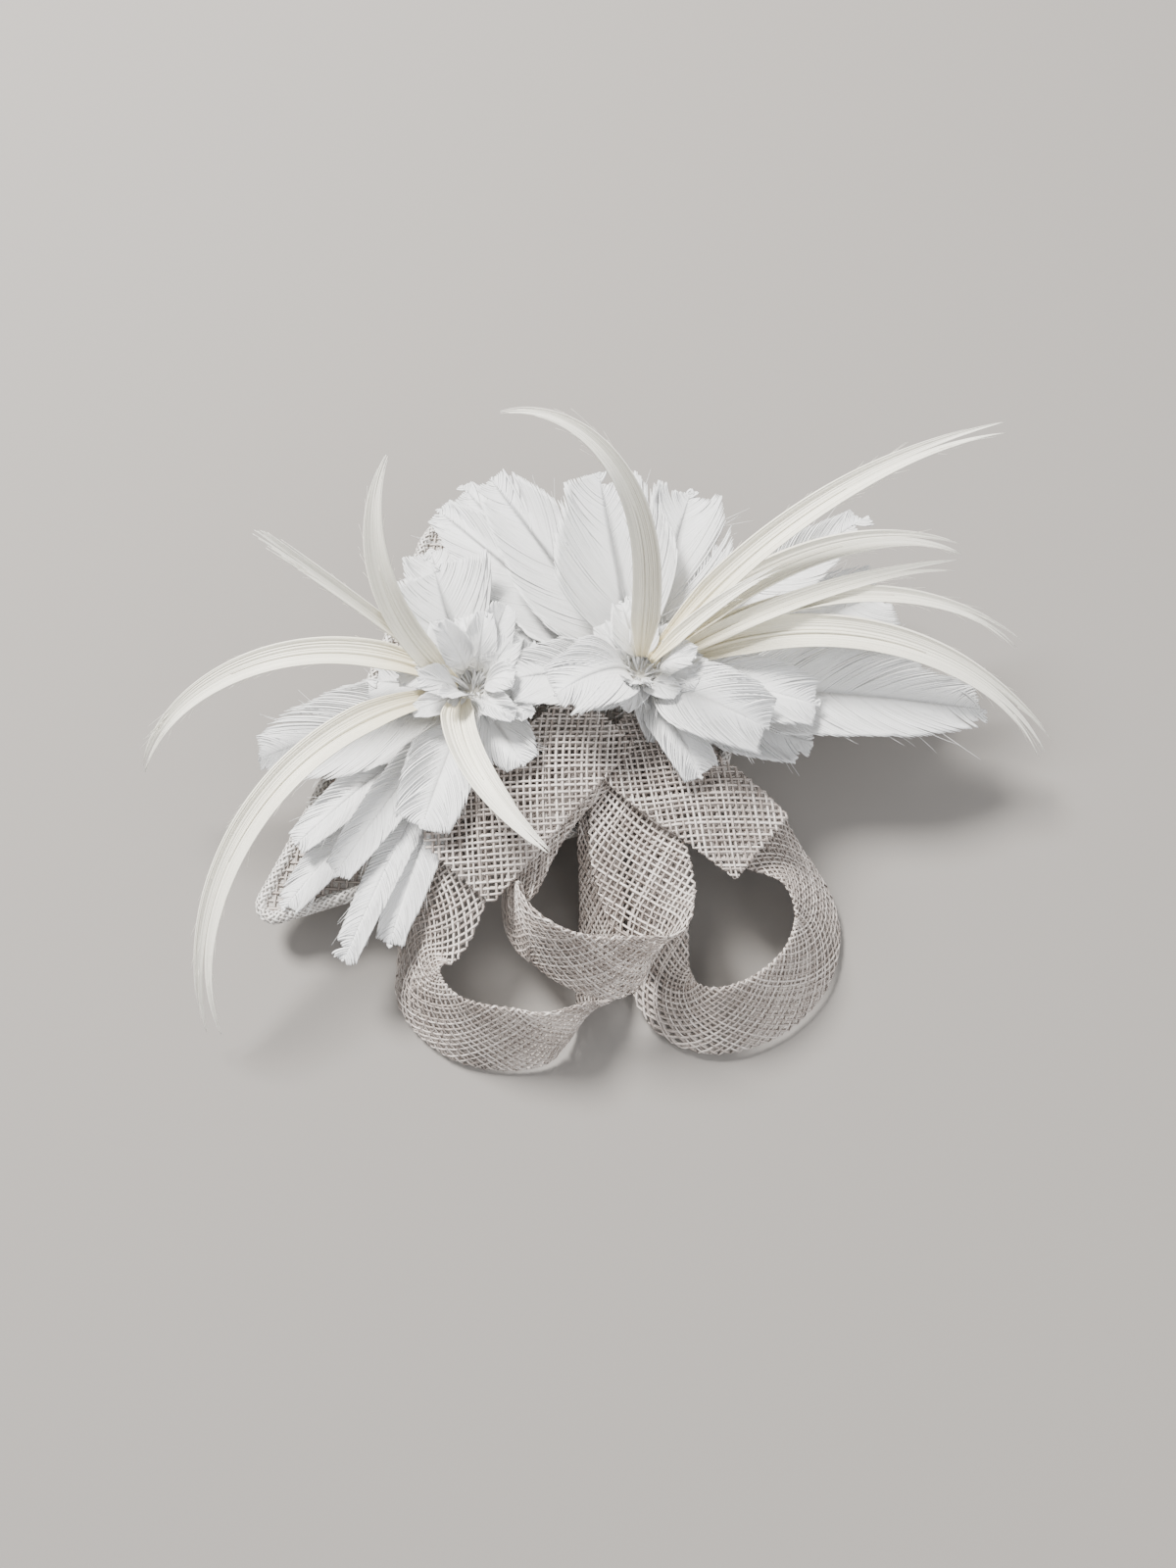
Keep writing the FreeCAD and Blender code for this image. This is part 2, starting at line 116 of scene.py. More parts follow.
BLUNT = ("biot_left_stick",)
PETAL_SPREAD = 1.16        # how much wider the barbs reach than the CAD blade
BIOT_SPREAD = 1.12         # the same for the biots

# name: core, root height, azimuth, pitch, length, width, bend, sweep, tip width ratio
PETALS = {
    "petal_back_1": ("main", 2, 139, 19, 52, 14, -20, 0, 0.2),
    "petal_back_2": ("main", 3.4, 127, 24, 48, 16, -20, 0, 0.2),
    "petal_back_3": ("main", 0.8, 129, 12, 56, 10, -20, 0, 0.25),
    "petal_back_4": ("main", 5.4, 103, 38, 38, 21, -20, 0, 0.35),
    "petal_back_5": ("main", 3.4, 74, 34, 37, 21, -20, 0, 0.4),
    "petal_back_6": ("main", 0.8, 56, 8, 34, 14, -16, 0, 0.5),
    "petal_back_7": ("main", 3.8, 36, 16, 54, 11, -16, 0, 0.3),
    "petal_right_1": ("main", 2.6, 22, 9, 53, 16, -20, 0, 0.6),
    "petal_right_2": ("main", 1.6, 7, 6, 56, 17, -20, 0, 0.5),
    "petal_right_3": ("main", 3.6, -5, 11, 65, 17, -20, 0, 0.2),
    "petal_right_4": ("main", 0.8, -18, 4, 33, 13, -8, 0, 0.5),
    "petal_curl_1": ("main", 8.2, -42, 60, 28, 13, -95, 25, 0.6),
    "petal_curl_2": ("main", 5.2, -12, 40, 34, 12, -65, 0, 0.5),
    "petal_curl_3": ("main", 8.4, -150, 96, 24, 13, -120, 0, 0.5),
    "petal_curl_4": ("main", 6, -172, 49, 25, 12, -60, 0, 0.5),
    "petal_front": ("main", 7, -63, 38, 23, 8, -60, 0, 0.6),
    "petal_left_1": ("left", 5, 109, 34, 24, 21, -20, 0, 0.75),
    "petal_left_2": ("left", 1.2, 107, 11, 33, 13, -20, 0, 0.6),
    "petal_left_3": ("left", 4.4, 66, 12, 22, 12, -6, 0, 0.5),
    "petal_left_4": ("left", 5.4, 176, 20, 18, 10, -20, 0, 0.6),
    "petal_left_5": ("left", 3.6, -163, 11, 41, 17, -24, 0, 0.3),
    "petal_finger_1": ("left", 2.6, -138, 10, 42, 8, -20, 0, 0.4),
    "petal_finger_2": ("left", 1.4, -131, 8, 52, 8, -25, 0, 0.4),
    "petal_finger_3": ("left", 4.4, -124, 14, 42, 8, -25, 0, 0.4),
    "petal_finger_4": ("left", 3.4, -114, 10, 54, 6, -26, 0, 0.6),
    "petal_finger_5": ("left", 2.2, -107, 12, 49, 8, -30, 0, 0.4),
    "petal_under": ("left", 5.4, -106, 22, 28, 12, -24, 0, 0.6),
    "petal_gap_1": ("main", 3.6, 176, 16, 19, 10, -16, 0, 0.6),
    "petal_gap_2": ("left", 2.2, 22, 16, 16, 9, -16, 0, 0.6),
    "petal_inner_1": ("left", 6.4, -58, 34, 18, 10, -40, 0, 0.4),
    "petal_inner_2": ("left", 7, 60, 52, 17, 7, -10, 0, 0.4),
}

# Ribbons: stations of centre x, y, z, the direction across the ribbon, and its width ratio.
RIBBONS = {
    "ribbon_loop_left": [
        (5, -7.5, 14.5, 1, 0, 0, 0.47),
        (2.5, -12.5, 14.7, 0.85, -0.5, 0, 0.5),
        (-8, -17, 15.3, 0.5, -0.85, 0.05, 0.62),
        (-21.5, -24.5, 15.8, 0.7, -0.7, 0.05, 0.75),
        (-27, -40, 14.4, 0.9, -0.16, 0.3, 0.9),
        (-31, -48, 10.4, 0.62, 0.1, 0.78, 1),
        (-31, -56, 9.2, 0.45, 0.3, 0.84, 1),
        (-24, -62.5, 8.9, 0.15, 0.5, 0.85, 1),
        (-13, -64.5, 8.9, 0, 0.5, 0.87, 1),
        (-5, -63, 8.9, 0.1, 0.4, 0.9, 0.85),
        (0.3, -58.5, 5.1, 0.6, 0.5, 0.5, 0.55),
        (2.2, -51, 4, 0.9, 0.1, 0.35, 0.48),
        (2.5, -40, 5.6, 0.97, 0, 0.2, 0.45),
        (2.5, -33.5, 10, 1, 0, 0.1, 0.45),
        (2.3, -27, 14.6, 1, 0, 0, 0.45),
        (4, -16, 15.4, 1, 0, 0, 0.45),
        (5, -7.5, 15.4, 1, 0, 0, 0.47),
    ],
    "ribbon_loop_right": [
        (5, -7.5, 16.4, -1, 0, 0, 0.47),
        (8, -12.8, 16.4, -0.85, -0.5, 0, 0.5),
        (17, -17.5, 16.3, -0.45, -0.88, 0, 0.65),
        (29, -24.5, 14.4, -0.6, -0.7, 0.2, 0.9),
        (39, -32.5, 11.5, -0.6, -0.15, 0.75, 0.9),
        (43.3, -42, 8.6, -0.62, 0.15, 0.8, 0.95),
        (41, -51, 8.3, -0.55, 0.35, 0.8, 0.95),
        (33.5, -58, 8.3, -0.4, 0.5, 0.8, 0.95),
        (24.5, -61, 8.3, -0.1, 0.6, 0.8, 0.92),
        (17.5, -59, 6.6, 0.35, 0.55, 0.7, 0.8),
        (13.8, -53, 5.4, 0.85, 0.2, 0.4, 0.65),
        (13.5, -44, 7, 0.95, 0, 0.3, 0.6),
        (13.5, -36, 10, 0.95, 0, 0.2, 0.55),
        (12.5, -28, 14.8, 1, 0, 0, 0.5),
        (7, -17, 17.3, 1, 0, 0, 0.45),
        (5, -7.5, 17.3, 1, 0, 0, 0.47),
    ],
    "ribbon_loop_middle": [
        (5, -7.5, 18.3, 1, 0, 0, 0.47),
        (5.6, -12.5, 18.4, 1, 0, 0, 0.5),
        (7.5, -20.5, 18.3, 0.95, 0.1, 0.05, 0.75),
        (9, -30, 17.2, 0.95, 0, 0.2, 0.95),
        (11.5, -41, 16.6, 0.8, 0.1, 0.5, 1),
        (12.5, -49, 17.6, 0.4, 0.35, 0.85, 1),
        (5.5, -53, 18.6, 0.1, 0.45, 0.89, 1),
        (-3, -51.5, 18.6, 0.1, 0.35, 0.93, 1),
        (-10.5, -46.5, 18.4, 0.15, 0.25, 0.95, 0.95),
        (-14, -39.5, 13.6, 0.35, 0.1, 0.93, 0.68),
        (-10.5, -32, 17.3, 0.85, -0.4, 0.1, 0.42),
        (-5, -22, 18, 0.85, -0.5, 0.05, 0.48),
        (3.5, -13.5, 19.2, 0.95, -0.25, 0, 0.45),
        (5, -7.5, 19.2, 1, 0, 0, 0.47),
    ],
    "ribbon_tail_left": [
        (3.5, -6, 21.4, 0.6, -0.8, 0, 0.85),
        (-5, -14, 21.6, 0.75, -0.66, 0, 0.95),
        (-14.5, -24, 20.8, 0.75, -0.66, 0, 1),
        (-24.5, -35.5, 19.4, 0.75, -0.66, 0, 1),
    ],
    "ribbon_tail_right": [
        (4, -9, 20.3, -0.5, -0.85, 0, 0.8),
        (13, -15.8, 20.6, -0.55, -0.83, 0, 0.92),
        (22, -22.5, 20.9, -0.6, -0.8, 0, 0.92),
        (32, -31, 19.8, -0.62, -0.78, 0, 0.85),
    ],
}

# How each cut end is shaped: how far the ribbon stops short at the two edges, mm.
CUT_ENDS = {
    "ribbon_tail_left": (2.0, 0.0),
    "ribbon_tail_right": (0.0, 0.0),
}


# ---------------------------------------------------------------- small helpers
def seeded(name):
    """A random generator of a piece's own, the same on each run."""
    return np.random.default_rng(zlib.crc32(name.encode()))


def unit(v):
    return v / np.maximum(np.linalg.norm(v, axis=-1, keepdims=True), 1e-12)


def across_line(points, guide):
    """The side and upward directions along each line, with the sides square to guide."""
    ahead = unit(np.gradient(points, axis=1))
    side = unit(np.cross(np.array(guide), ahead))
    return side, np.cross(ahead, side)


def flat_size(outline):
    """The width and length in metres of an outline in mm, and its area in square metres."""
    x, y = outline[:, 0], outline[:, 1]
    area = abs(np.sum(x * np.roll(y, -1) - np.roll(x, -1) * y)) / 2
    return tuple((outline.max(0) - outline.min(0)) * MM), area * MM * MM


def ring_quads(index):
    """Faces between neighbouring rows of points, each row closed on itself."""
    near, far = index[:-1], index[1:]
    return np.stack([near, np.roll(near, -1, 1), np.roll(far, -1, 1), far], axis=-1).reshape(-1, 4)


def at_stations(table, stations, where):
    """Each column of table, read at fractional places along its stations."""
    flat = where.reshape(-1)
    columns = [np.interp(flat, stations, table[:, k]) for k in range(table.shape[1])]
    return np.stack(columns, axis=-1).reshape(*where.shape, table.shape[1])


class Strands:
    """Collects thin closed strips, each swept along a line of its own, as one mesh."""

    def __init__(self):
        self.points = []
        self.faces = []
        self.tints = []
        self.alongs = []
        self.count = 0

    def add(self, points, side, over, half_wide, half_thick, tint, along):
        """points, side and over are (strips, stations, 3); the sizes and along are (strips, stations)."""
        strips, stations = points.shape[:2]
        wide = side * half_wide[..., None]
        thick = over * half_thick[..., None]
        ring = np.stack([points + wide, points + thick, points - wide, points - thick], axis=2)
        index = self.count + np.arange(strips * stations * 4).reshape(strips, stations, 4)
        here, ahead = index[:, :-1], index[:, 1:]
        sides = [here, np.roll(here, -1, axis=2), np.roll(ahead, -1, axis=2), ahead]
        self.faces.append(np.stack(sides, axis=-1).reshape(-1, 4))
        self.faces.append(index[:, 0, ::-1])
        self.faces.append(index[:, -1])
        self.points.append(ring.reshape(-1, 3))
        self.tints.append(np.repeat(tint, stations * 4))
        self.alongs.append(np.repeat(along.reshape(-1), 4))
        self.count += ring.size // 3


def new_mesh(name, points, faces, material, smooth=True):
    """A mesh object from points in millimetres and faces that all have the same number of corners."""
    mesh = bpy.data.meshes.new(name)
    corners = faces.shape[1]
    mesh.vertices.add(len(points))
    mesh.vertices.foreach_set("co", (points * MM).astype(np.float32).ravel())
    mesh.loops.add(faces.size)
    mesh.loops.foreach_set("vertex_index", faces.astype(np.int32).ravel())
    mesh.polygons.add(len(faces))
    mesh.polygons.foreach_set("loop_start", np.arange(len(faces), dtype=np.int32) * corners)
    mesh.polygons.foreach_set("use_smooth", np.full(len(faces), smooth))
    mesh.update(calc_edges=True)
    mesh.materials.append(material)
    obj = bpy.data.objects.new(name, mesh)
    bpy.context.scene.collection.objects.link(obj)
    return obj


def strand_mesh(name, strands, material):
    obj = new_mesh(name, np.concatenate(strands.points), np.concatenate(strands.faces), material)
    for key, values in (("tint", strands.tints), ("along", strands.alongs)):
        attribute = obj.data.attributes.new(key, "FLOAT", "POINT")
        attribute.data.foreach_set("value", np.concatenate(values).astype(np.float32))
    return obj


def stand_for(obj, slot, *nodes, body=ROOT_BODY):
    """Puts a finished piece on its body, in place of its CAD nodes."""
    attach(obj, body)
    if nodes:
        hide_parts(*nodes)
    return obj


# ---------------------------------------------------------------- materials
def new_material(name):
    material = bpy.data.materials.new(name)
    material.use_nodes = True
    nodes = material.node_tree.nodes
    return material, nodes, material.node_tree.links, nodes["Principled BSDF"]


def ramp(nodes, links, value, stops):
    node = nodes.new("ShaderNodeValToRGB")
    elements = node.color_ramp.elements
    while len(elements) < len(stops):
        elements.new(0.5)
    for element, (place, colour) in zip(elements, stops):
        element.position = place
        element.color = (*colour, 1.0)
    links.new(value, node.inputs["Fac"])
    return node.outputs["Color"]


def attribute(nodes, name):
    node = nodes.new("ShaderNodeAttribute")
    node.attribute_name = name
    return node.outputs["Fac"]


def math_node(nodes, links, kind, a, b):
    node = nodes.new("ShaderNodeMath")
    node.operation = kind
    for socket, value in zip(node.inputs, (a, b)):
        if isinstance(value, (int, float)):
            socket.default_value = value
        else:
            links.new(value, socket)
    return node.outputs["Value"]


def mix_colour(nodes, links, blend, factor, a, b):
    node = nodes.new("ShaderNodeMix")
    node.data_type = "RGBA"
    node.blend_type = blend
    node.inputs["Factor"].default_value = factor
    for socket, value in ((node.inputs[6], a), (node.inputs[7], b)):
        if isinstance(value, tuple):
            socket.default_value = (*value, 1.0)
        else:
            links.new(value, socket)
    return node.outputs[2]


def noise(nodes, links, scale, detail=4.0, vector=None):
    node = nodes.new("ShaderNodeTexNoise")
    node.inputs["Scale"].default_value = scale
    node.inputs["Detail"].default_value = detail
    if vector is None:
        place = nodes.new("ShaderNodeTexCoord")
        vector = place.outputs["Object"]
    links.new(vector, node.inputs["Vector"])
    return node.outputs["Fac"]


def bump(nodes, links, shader, height, distance, strength=0.5):
    node = nodes.new("ShaderNodeBump")
    node.inputs["Distance"].default_value = distance
    node.inputs["Strength"].default_value = strength
    links.new(height, node.inputs["Height"])
    links.new(node.outputs["Normal"], shader.inputs["Normal"])


def strand_grain(nodes, links, stretch):
    """Noise drawn out along a strand: its own seed by tint, and slow along its length."""
    node = nodes.new("ShaderNodeCombineXYZ")
    links.new(math_node(nodes, links, "MULTIPLY", attribute(nodes, "tint"), 61.0), node.inputs["X"])
    links.new(math_node(nodes, links, "MULTIPLY", attribute(nodes, "along"), stretch), node.inputs["Y"])
    return noise(nodes, links, 1.0, 5.0, node.outputs["Vector"])


def feather_material(name, root, middle, tip, shine, through):
    material, nodes, links, shader = new_material(name)
    tone = ramp(nodes, links, attribute(nodes, "along"), [(0.0, root), (0.28, middle), (1.0, tip)])
    streak = ramp(nodes, links, strand_grain(nodes, links, 6.0),
                  [(0.25, (0.86, 0.85, 0.83)), (0.7, (1.0, 1.0, 1.0))])
    tone = mix_colour(nodes, links, "MULTIPLY", 0.7, tone, streak)
    links.new(tone, shader.inputs["Base Color"])
    shader.inputs["Roughness"].default_value = shine
    shader.inputs["Sheen Weight"].default_value = 0.25
    shader.inputs["Sheen Roughness"].default_value = 0.4
    shader.inputs["Specular IOR Level"].default_value = 0.45
    bump(nodes, links, shader, noise(nodes, links, 5000.0, 2.0), 0.00005, 0.35)
    glow = nodes.new("ShaderNodeBsdfTranslucent")
    links.new(tone, glow.inputs["Color"])
    mixed = nodes.new("ShaderNodeMixShader")
    mixed.inputs["Fac"].default_value = through
    links.new(shader.outputs["BSDF"], mixed.inputs[1])
    links.new(glow.outputs["BSDF"], mixed.inputs[2])
    links.new(mixed.outputs["Shader"], nodes["Material Output"].inputs["Surface"])
    return material


def thread_material(name, dark, light, shine):
    """Raw plant fibre: each thread has its own tone, with paler and duller stretches."""
    material, nodes, links, shader = new_material(name)
    tone = ramp(nodes, links, attribute(nodes, "tint"), [(0.0, dark), (1.0, light)])
    grain = strand_grain(nodes, links, 40.0)
    streak = ramp(nodes, links, grain, [(0.3, (0.8, 0.78, 0.76)), (0.65, (1.0, 1.0, 1.0))])
    links.new(mix_colour(nodes, links, "MULTIPLY", 0.8, tone, streak), shader.inputs["Base Color"])
    rough = ramp(nodes, links, grain, [(0.2, (shine + 0.16,) * 3), (0.8, (shine,) * 3)])
    links.new(rough, shader.inputs["Roughness"])
    shader.inputs["Specular IOR Level"].default_value = 0.6
    bump(nodes, links, shader, noise(nodes, links, 6000.0, 3.0), 0.00008, 0.5)
    return material


def cloth_material(name, colour, scale, weave):
    """Plain cloth seen close: a fine weave in the bump, or a felted nap."""
    material, nodes, links, shader = new_material(name)
    blotch = ramp(nodes, links, noise(nodes, links, 260.0, 5.0),
                  [(0.3, tuple(c * 0.86 for c in colour)), (0.7, colour)])
    links.new(blotch, shader.inputs["Base Color"])
    shader.inputs["Roughness"].default_value = 0.92
    shader.inputs["Sheen Weight"].default_value = 0.35
    place = nodes.new("ShaderNodeTexCoord")
    if weave:
        waves = []
        for direction in ("X", "Y"):
            wave = nodes.new("ShaderNodeTexWave")
            wave.bands_direction = direction
            wave.inputs["Scale"].default_value = scale
            wave.inputs["Distortion"].default_value = 0.6
            links.new(place.outputs["Object"], wave.inputs["Vector"])
            waves.append(wave.outputs["Fac"])
        height = math_node(nodes, links, "MAXIMUM", *waves)
    else:
        height = noise(nodes, links, scale, 8.0)
    bump(nodes, links, shader, height, 0.0003, 0.7)
    return material


def steel_material(name, colour, shine):
    """Nickel-plated clip steel: drawn lines along the clip, and faint handling marks."""
    material, nodes, links, shader = new_material(name)
    place = nodes.new("ShaderNodeTexCoord")
    stretch = nodes.new("ShaderNodeMapping")
    stretch.inputs["Scale"].default_value = (60.0, 4000.0, 4000.0)
    links.new(place.outputs["Object"], stretch.inputs["Vector"])
    lines = noise(nodes, links, 1.0, 3.0, stretch.outputs["Vector"])
    marks = ramp(nodes, links, noise(nodes, links, 400.0, 6.0),
                 [(0.35, tuple(c * 0.85 for c in colour)), (0.6, colour)])
    links.new(marks, shader.inputs["Base Color"])
    rough = ramp(nodes, links, lines, [(0.2, (shine,) * 3), (0.8, (shine + 0.18,) * 3)])
    links.new(rough, shader.inputs["Roughness"])
    shader.inputs["Metallic"].default_value = 1.0
    bump(nodes, links, shader, lines, 0.00002, 0.4)
    return material


BIOT = feather_material("biot_cream", (0.88, 0.78, 0.52), (0.95, 0.91, 0.76), (0.96, 0.94, 0.86),
                        shine=0.34, through=0.08)
PETAL = feather_material("petal_white", (0.94, 0.92, 0.84), (0.96, 0.96, 0.955), (0.97, 0.975, 0.98),
                         shine=0.45, through=0.25)
SINAMAY = thread_material("sinamay_ribbon", (0.31, 0.262, 0.235), (0.65, 0.595, 0.555), 0.3)
SINAMAY_BASE = thread_material("sinamay_base", (0.31, 0.262, 0.235), (0.56, 0.51, 0.47), 0.4)
SINAMAY_EDGE = thread_material("sinamay_binding", (0.58, 0.55, 0.52), (0.80, 0.78, 0.75), 0.4)
THREAD = thread_material("thread", (0.74, 0.71, 0.66), (0.88, 0.86, 0.82), 0.5)
BUCKRAM = cloth_material("buckram", (0.62, 0.58, 0.54), 900.0, True)
FELT = cloth_material("felt", (0.74, 0.71, 0.67), 1800.0, False)
WADDING = cloth_material("wadding", (0.94, 0.90, 0.80), 1200.0, False)
CLIP_STEEL = steel_material("clip_steel", (0.74, 0.74, 0.75), 0.24)
SPRING_STEEL = steel_material("spring_steel", (0.58, 0.58, 0.60), 0.3)


# ---------------------------------------------------------------- feathers
class Quill:
    """The line of a feather, turning evenly along its length, with its side and top directions."""

    def __init__(self, core, up, azimuth, pitch, length, bend, sweep, late):
        low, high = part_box("core_" + core)
        a = math.radians(azimuth)
        start = CORE_RADIUS - QUILL_DEEP
        x = (low.x + high.x) / 2 / MM + start * math.cos(a)
        y = (low.y + high.y) / 2 / MM + start * math.sin(a)
        z = high.z / MM + ROOT_ABOVE_CORE_TOP[core] + up
        steps = 240
        middle = (np.arange(steps) + 0.5) / steps
        ahead = self.heading(middle, azimuth, pitch, bend, sweep, late)
        moves = np.vstack([np.zeros(3), ahead * length / steps])
        self.length = length
        self.stations = np.arange(steps + 1) / steps
        self.line = np.array([x, y, z]) + np.cumsum(moves, axis=0)
        turn = np.radians(azimuth + sweep * self.stations ** late)
        self.side = np.stack([-np.sin(turn), np.cos(turn), np.zeros(steps + 1)], axis=-1)
        self.over = np.cross(self.heading(self.stations, azimuth, pitch, bend, sweep, late), self.side)

    @staticmethod
    def heading(s, azimuth, pitch, bend, sweep, late):
        a = np.radians(azimuth + sweep * s ** late)
        e = np.radians(pitch + bend * s ** late)
        return np.stack([np.cos(e) * np.cos(a), np.cos(e) * np.sin(a), np.sin(e)], axis=-1)

    def place(self, s, across, above):
        """Points at share s of the length, moved across and above the quill."""
        base = at_stations(self.line, self.stations, s)
        side = at_stations(self.side, self.stations, s)
        over = at_stations(self.over, self.stations, s)
        return base + side * across[..., None] + over * above[..., None], side, over


def add_on_quill(strands, quill, s, across, above, half_wide, half_thick, tint):
    """Strips that lie on a feather's surface and follow their own lines over it."""
    points, side, over = quill.place(s, across, above)
    ahead = unit(np.gradient(points, axis=1))
    side = unit(np.cross(over, ahead))
    over = np.cross(ahead, side)
    strands.add(points, side, over, half_wide, half_thick, tint, s)


def add_rachis(strands, quill, reach, thick, under):
    """The feather's stem, tapering from the root."""
    s = np.linspace(0.0, reach, 40)[None, :]
    size = thick * (1 - s / reach * 0.88)
    zero = np.zeros_like(s)
    for turn in range(2):
        add_on_quill(strands, quill, s, zero, zero - under, size * (1 - 0.3 * turn),
                     size * (0.45 + 0.35 * turn), np.array([0.4]))


def petal_half_width(s, width, tip):
    ends = 1 - (1 - tip) * (np.maximum(0.0, s - 0.55) / 0.45) ** 2
    return width / 2 * np.minimum(1.0, 0.08 + 2.2 * s) * ends


def vane_side(strands, quill, width, tip, sign, random, wave):
    """The barbs on one side of a broad feather. They cling in groups that part towards the edge."""
    spacing = 0.3
    reach = 0.82 * width / quill.length
    steepest = 0.8
    count = int(quill.length * 0.93 / spacing)
    start = np.linspace(0.05, 0.985, count) + random.normal(0, 0.0015, count)
    group = np.cumsum(random.random(count) < 0.05)
    groups = group[-1] + 1
    parted = random.normal(0, 0.005, groups)[group]
    lifted = random.normal(0, 0.16, groups)[group]
    shorter = (1 - np.abs(random.normal(0, 0.06, groups)))[group]
    cut = 1.0 - np.abs(random.normal(0, 0.03, groups))[group] - np.abs(random.normal(0, 0.004, count))
    end = np.minimum(start + reach, cut)
    edge = np.minimum(petal_half_width(end, width, tip), (end - start) * quill.length * steepest)
    end = end - 0.035 * (edge / (width / 2)) ** 2
    edge = edge * shorter * (1 + random.normal(0, 0.02, count))
    t = np.linspace(0, 1, 10)[None, :]
    s = start[:, None] + (end - start)[:, None] * t ** 1.1 + parted[:, None] * t ** 2.5
    s = np.clip(s, 0.0, 1.0)
    across = sign * edge[:, None] * (1 - (1 - t) ** 1.4)
    share = across / (width / 2)
    above = 0.07 * width * share ** 2 + lifted[:, None] * t ** 2
    above += wave[0] * np.sin(wave[1] + 5.0 * s) * np.abs(share)
    above += random.normal(0, 0.02, count)[:, None] * t
    half_wide = 0.24 * (1 - 0.8 * t ** 8) * np.ones_like(s)
    half_thick = 0.045 * (1 - 0.8 * t) * np.ones_like(s)
    add_on_quill(strands, quill, s, across, above, half_wide, half_thick, random.random(count))


def add_hairs(strands, quill, s, across, lift, thick, random):
    """Hair-thin barbs that taper and lift away from the quill."""
    t = np.linspace(0, 1, s.shape[1])[None, :]
    above = random.normal(0, lift, len(s))[:, None] * t ** 2
    size = thick * (1 - 0.7 * t) * np.ones_like(s)
    add_on_quill(strands, quill, s, across, above, size, size, random.random(len(s)))


def loose_barbs(strands, quill, width, random):
    """Fine down at the foot of the vane."""
    count = 26
    t = np.linspace(0, 1, 9)[None, :]
    start = random.uniform(0.06, 0.3, count)[:, None]
    sign = random.choice([-1.0, 1.0], count)[:, None]
    far = random.uniform(0.25, 0.75, count)[:, None] * width
    s = np.clip(start + 0.2 * t * random.uniform(0.4, 1.2, count)[:, None], 0, 1)
    across = sign * far * t ** 0.8
    add_hairs(strands, quill, s, across, 1.0, 0.05, random)


def stray_barbs(strands, quill, width, random):
    """Single barbs that have come away from the edge of the vane."""
    count = 14
    t = np.linspace(0, 1, 9)[None, :]
    start = random.uniform(0.45, 0.85, count)[:, None]
    sign = random.choice([-1.0, 1.0], count)[:, None]
    s = np.minimum(start + random.uniform(0.08, 0.16, count)[:, None] * t, 1.0)
    across = sign * width * (0.3 + random.uniform(0.15, 0.34, count)[:, None] * t)
    add_hairs(strands, quill, s, across, 1.1, 0.055, random)


def petal(name, row):
    core, up, azimuth, pitch, length, width, bend, sweep, tip = row
    random = seeded(name)
    quill = Quill(core, up, azimuth, pitch, length, bend, sweep, 1.0)
    strands = Strands()
    wave = (random.uniform(0.2, 0.6), random.uniform(0, 6.28))
    for sign in (-1, 1):
        vane_side(strands, quill, PETAL_SPREAD * width, min(1.0, tip + 0.15), sign, random, wave)
    add_rachis(strands, quill, 0.9, 0.34, 0.1)
    loose_barbs(strands, quill, width, random)
    stray_barbs(strands, quill, width, random)
    stand_for(strand_mesh(name + "_feather", strands, PETAL), "petal_white", name)


def biot(name, row):
    """A narrow curled feather: fibres that lie side by side and part near the tip."""
    core, up, azimuth, pitch, length, width, bend, sweep, late = row
    random = seeded(name)
    quill = Quill(core, up, azimuth, pitch, length, bend, sweep, late)
    fibres = int(width * 7)
    place = np.linspace(-1, 1, fibres)
    last = 1.0 - 0.16 * np.abs(random.normal(0, 1, fibres)) * np.abs(place) ** 1.5
    last = np.clip(last, 0.6, 1.0)
    t = np.linspace(0, 1, 70)[None, :]
    s = t * last[:, None]
    wide = BIOT_SPREAD * width * np.minimum(1.0, 0.35 + 3.0 * s)
    if name in BLUNT:
        last = 1.0 - 0.02 * np.abs(place)
        wide = wide * (0.75 + 0.25 * s)
    else:
        wide = wide * np.maximum(0.0, 1 - (s * 0.985) ** 3.0) ** 0.9
    spread, tips = SPLIT_TIPS.get(name, (0.5, 2))
    bundle = np.floor((place + 1) / 2 * tips * 0.999)
    outwards = (bundle - (tips - 1) / 2) / max(1, tips - 1)
    part = np.maximum(0.0, (s - 0.72) / 0.28) ** 2
    across = place[:, None] * wide / 2 + (outwards[:, None] * spread) * part
    above = 0.16 * wide * (place[:, None] ** 2 - 0.4) + 0.03 * random.normal(0, 1, fibres)[:, None]
    above += random.normal(0, 0.5, tips)[bundle.astype(int)][:, None] * part
    half_wide = np.maximum(wide / fibres * 1.2, 0.12) * (1 - 0.8 * t ** 12)
    half_thick = 0.09 * (1 - 0.6 * t) * np.ones_like(s)
    strands = Strands()
    add_on_quill(strands, quill, s, across, above, half_wide, half_thick, random.random(fibres))
    add_rachis(strands, quill, 0.6, 0.6, 0.15)
    hairs = int(0.55 * length)
    t = np.linspace(0, 1, 8)[None, :]
    start = random.uniform(0.2, 0.86, hairs)[:, None]
    sign = random.choice([-1.0, 1.0], hairs)[:, None]
    s = np.minimum(start + random.uniform(0.05, 0.13, hairs)[:, None] * t, 1.0)
    across = sign * (0.4 * width * (1 - start ** 3) + random.uniform(0.3, 1.5, hairs)[:, None] * t ** 1.6)
    add_hairs(strands, quill, s, across, 0.5, 0.06, random)
    stand_for(strand_mesh(name + "_feather", strands, BIOT), "biot_cream", name)


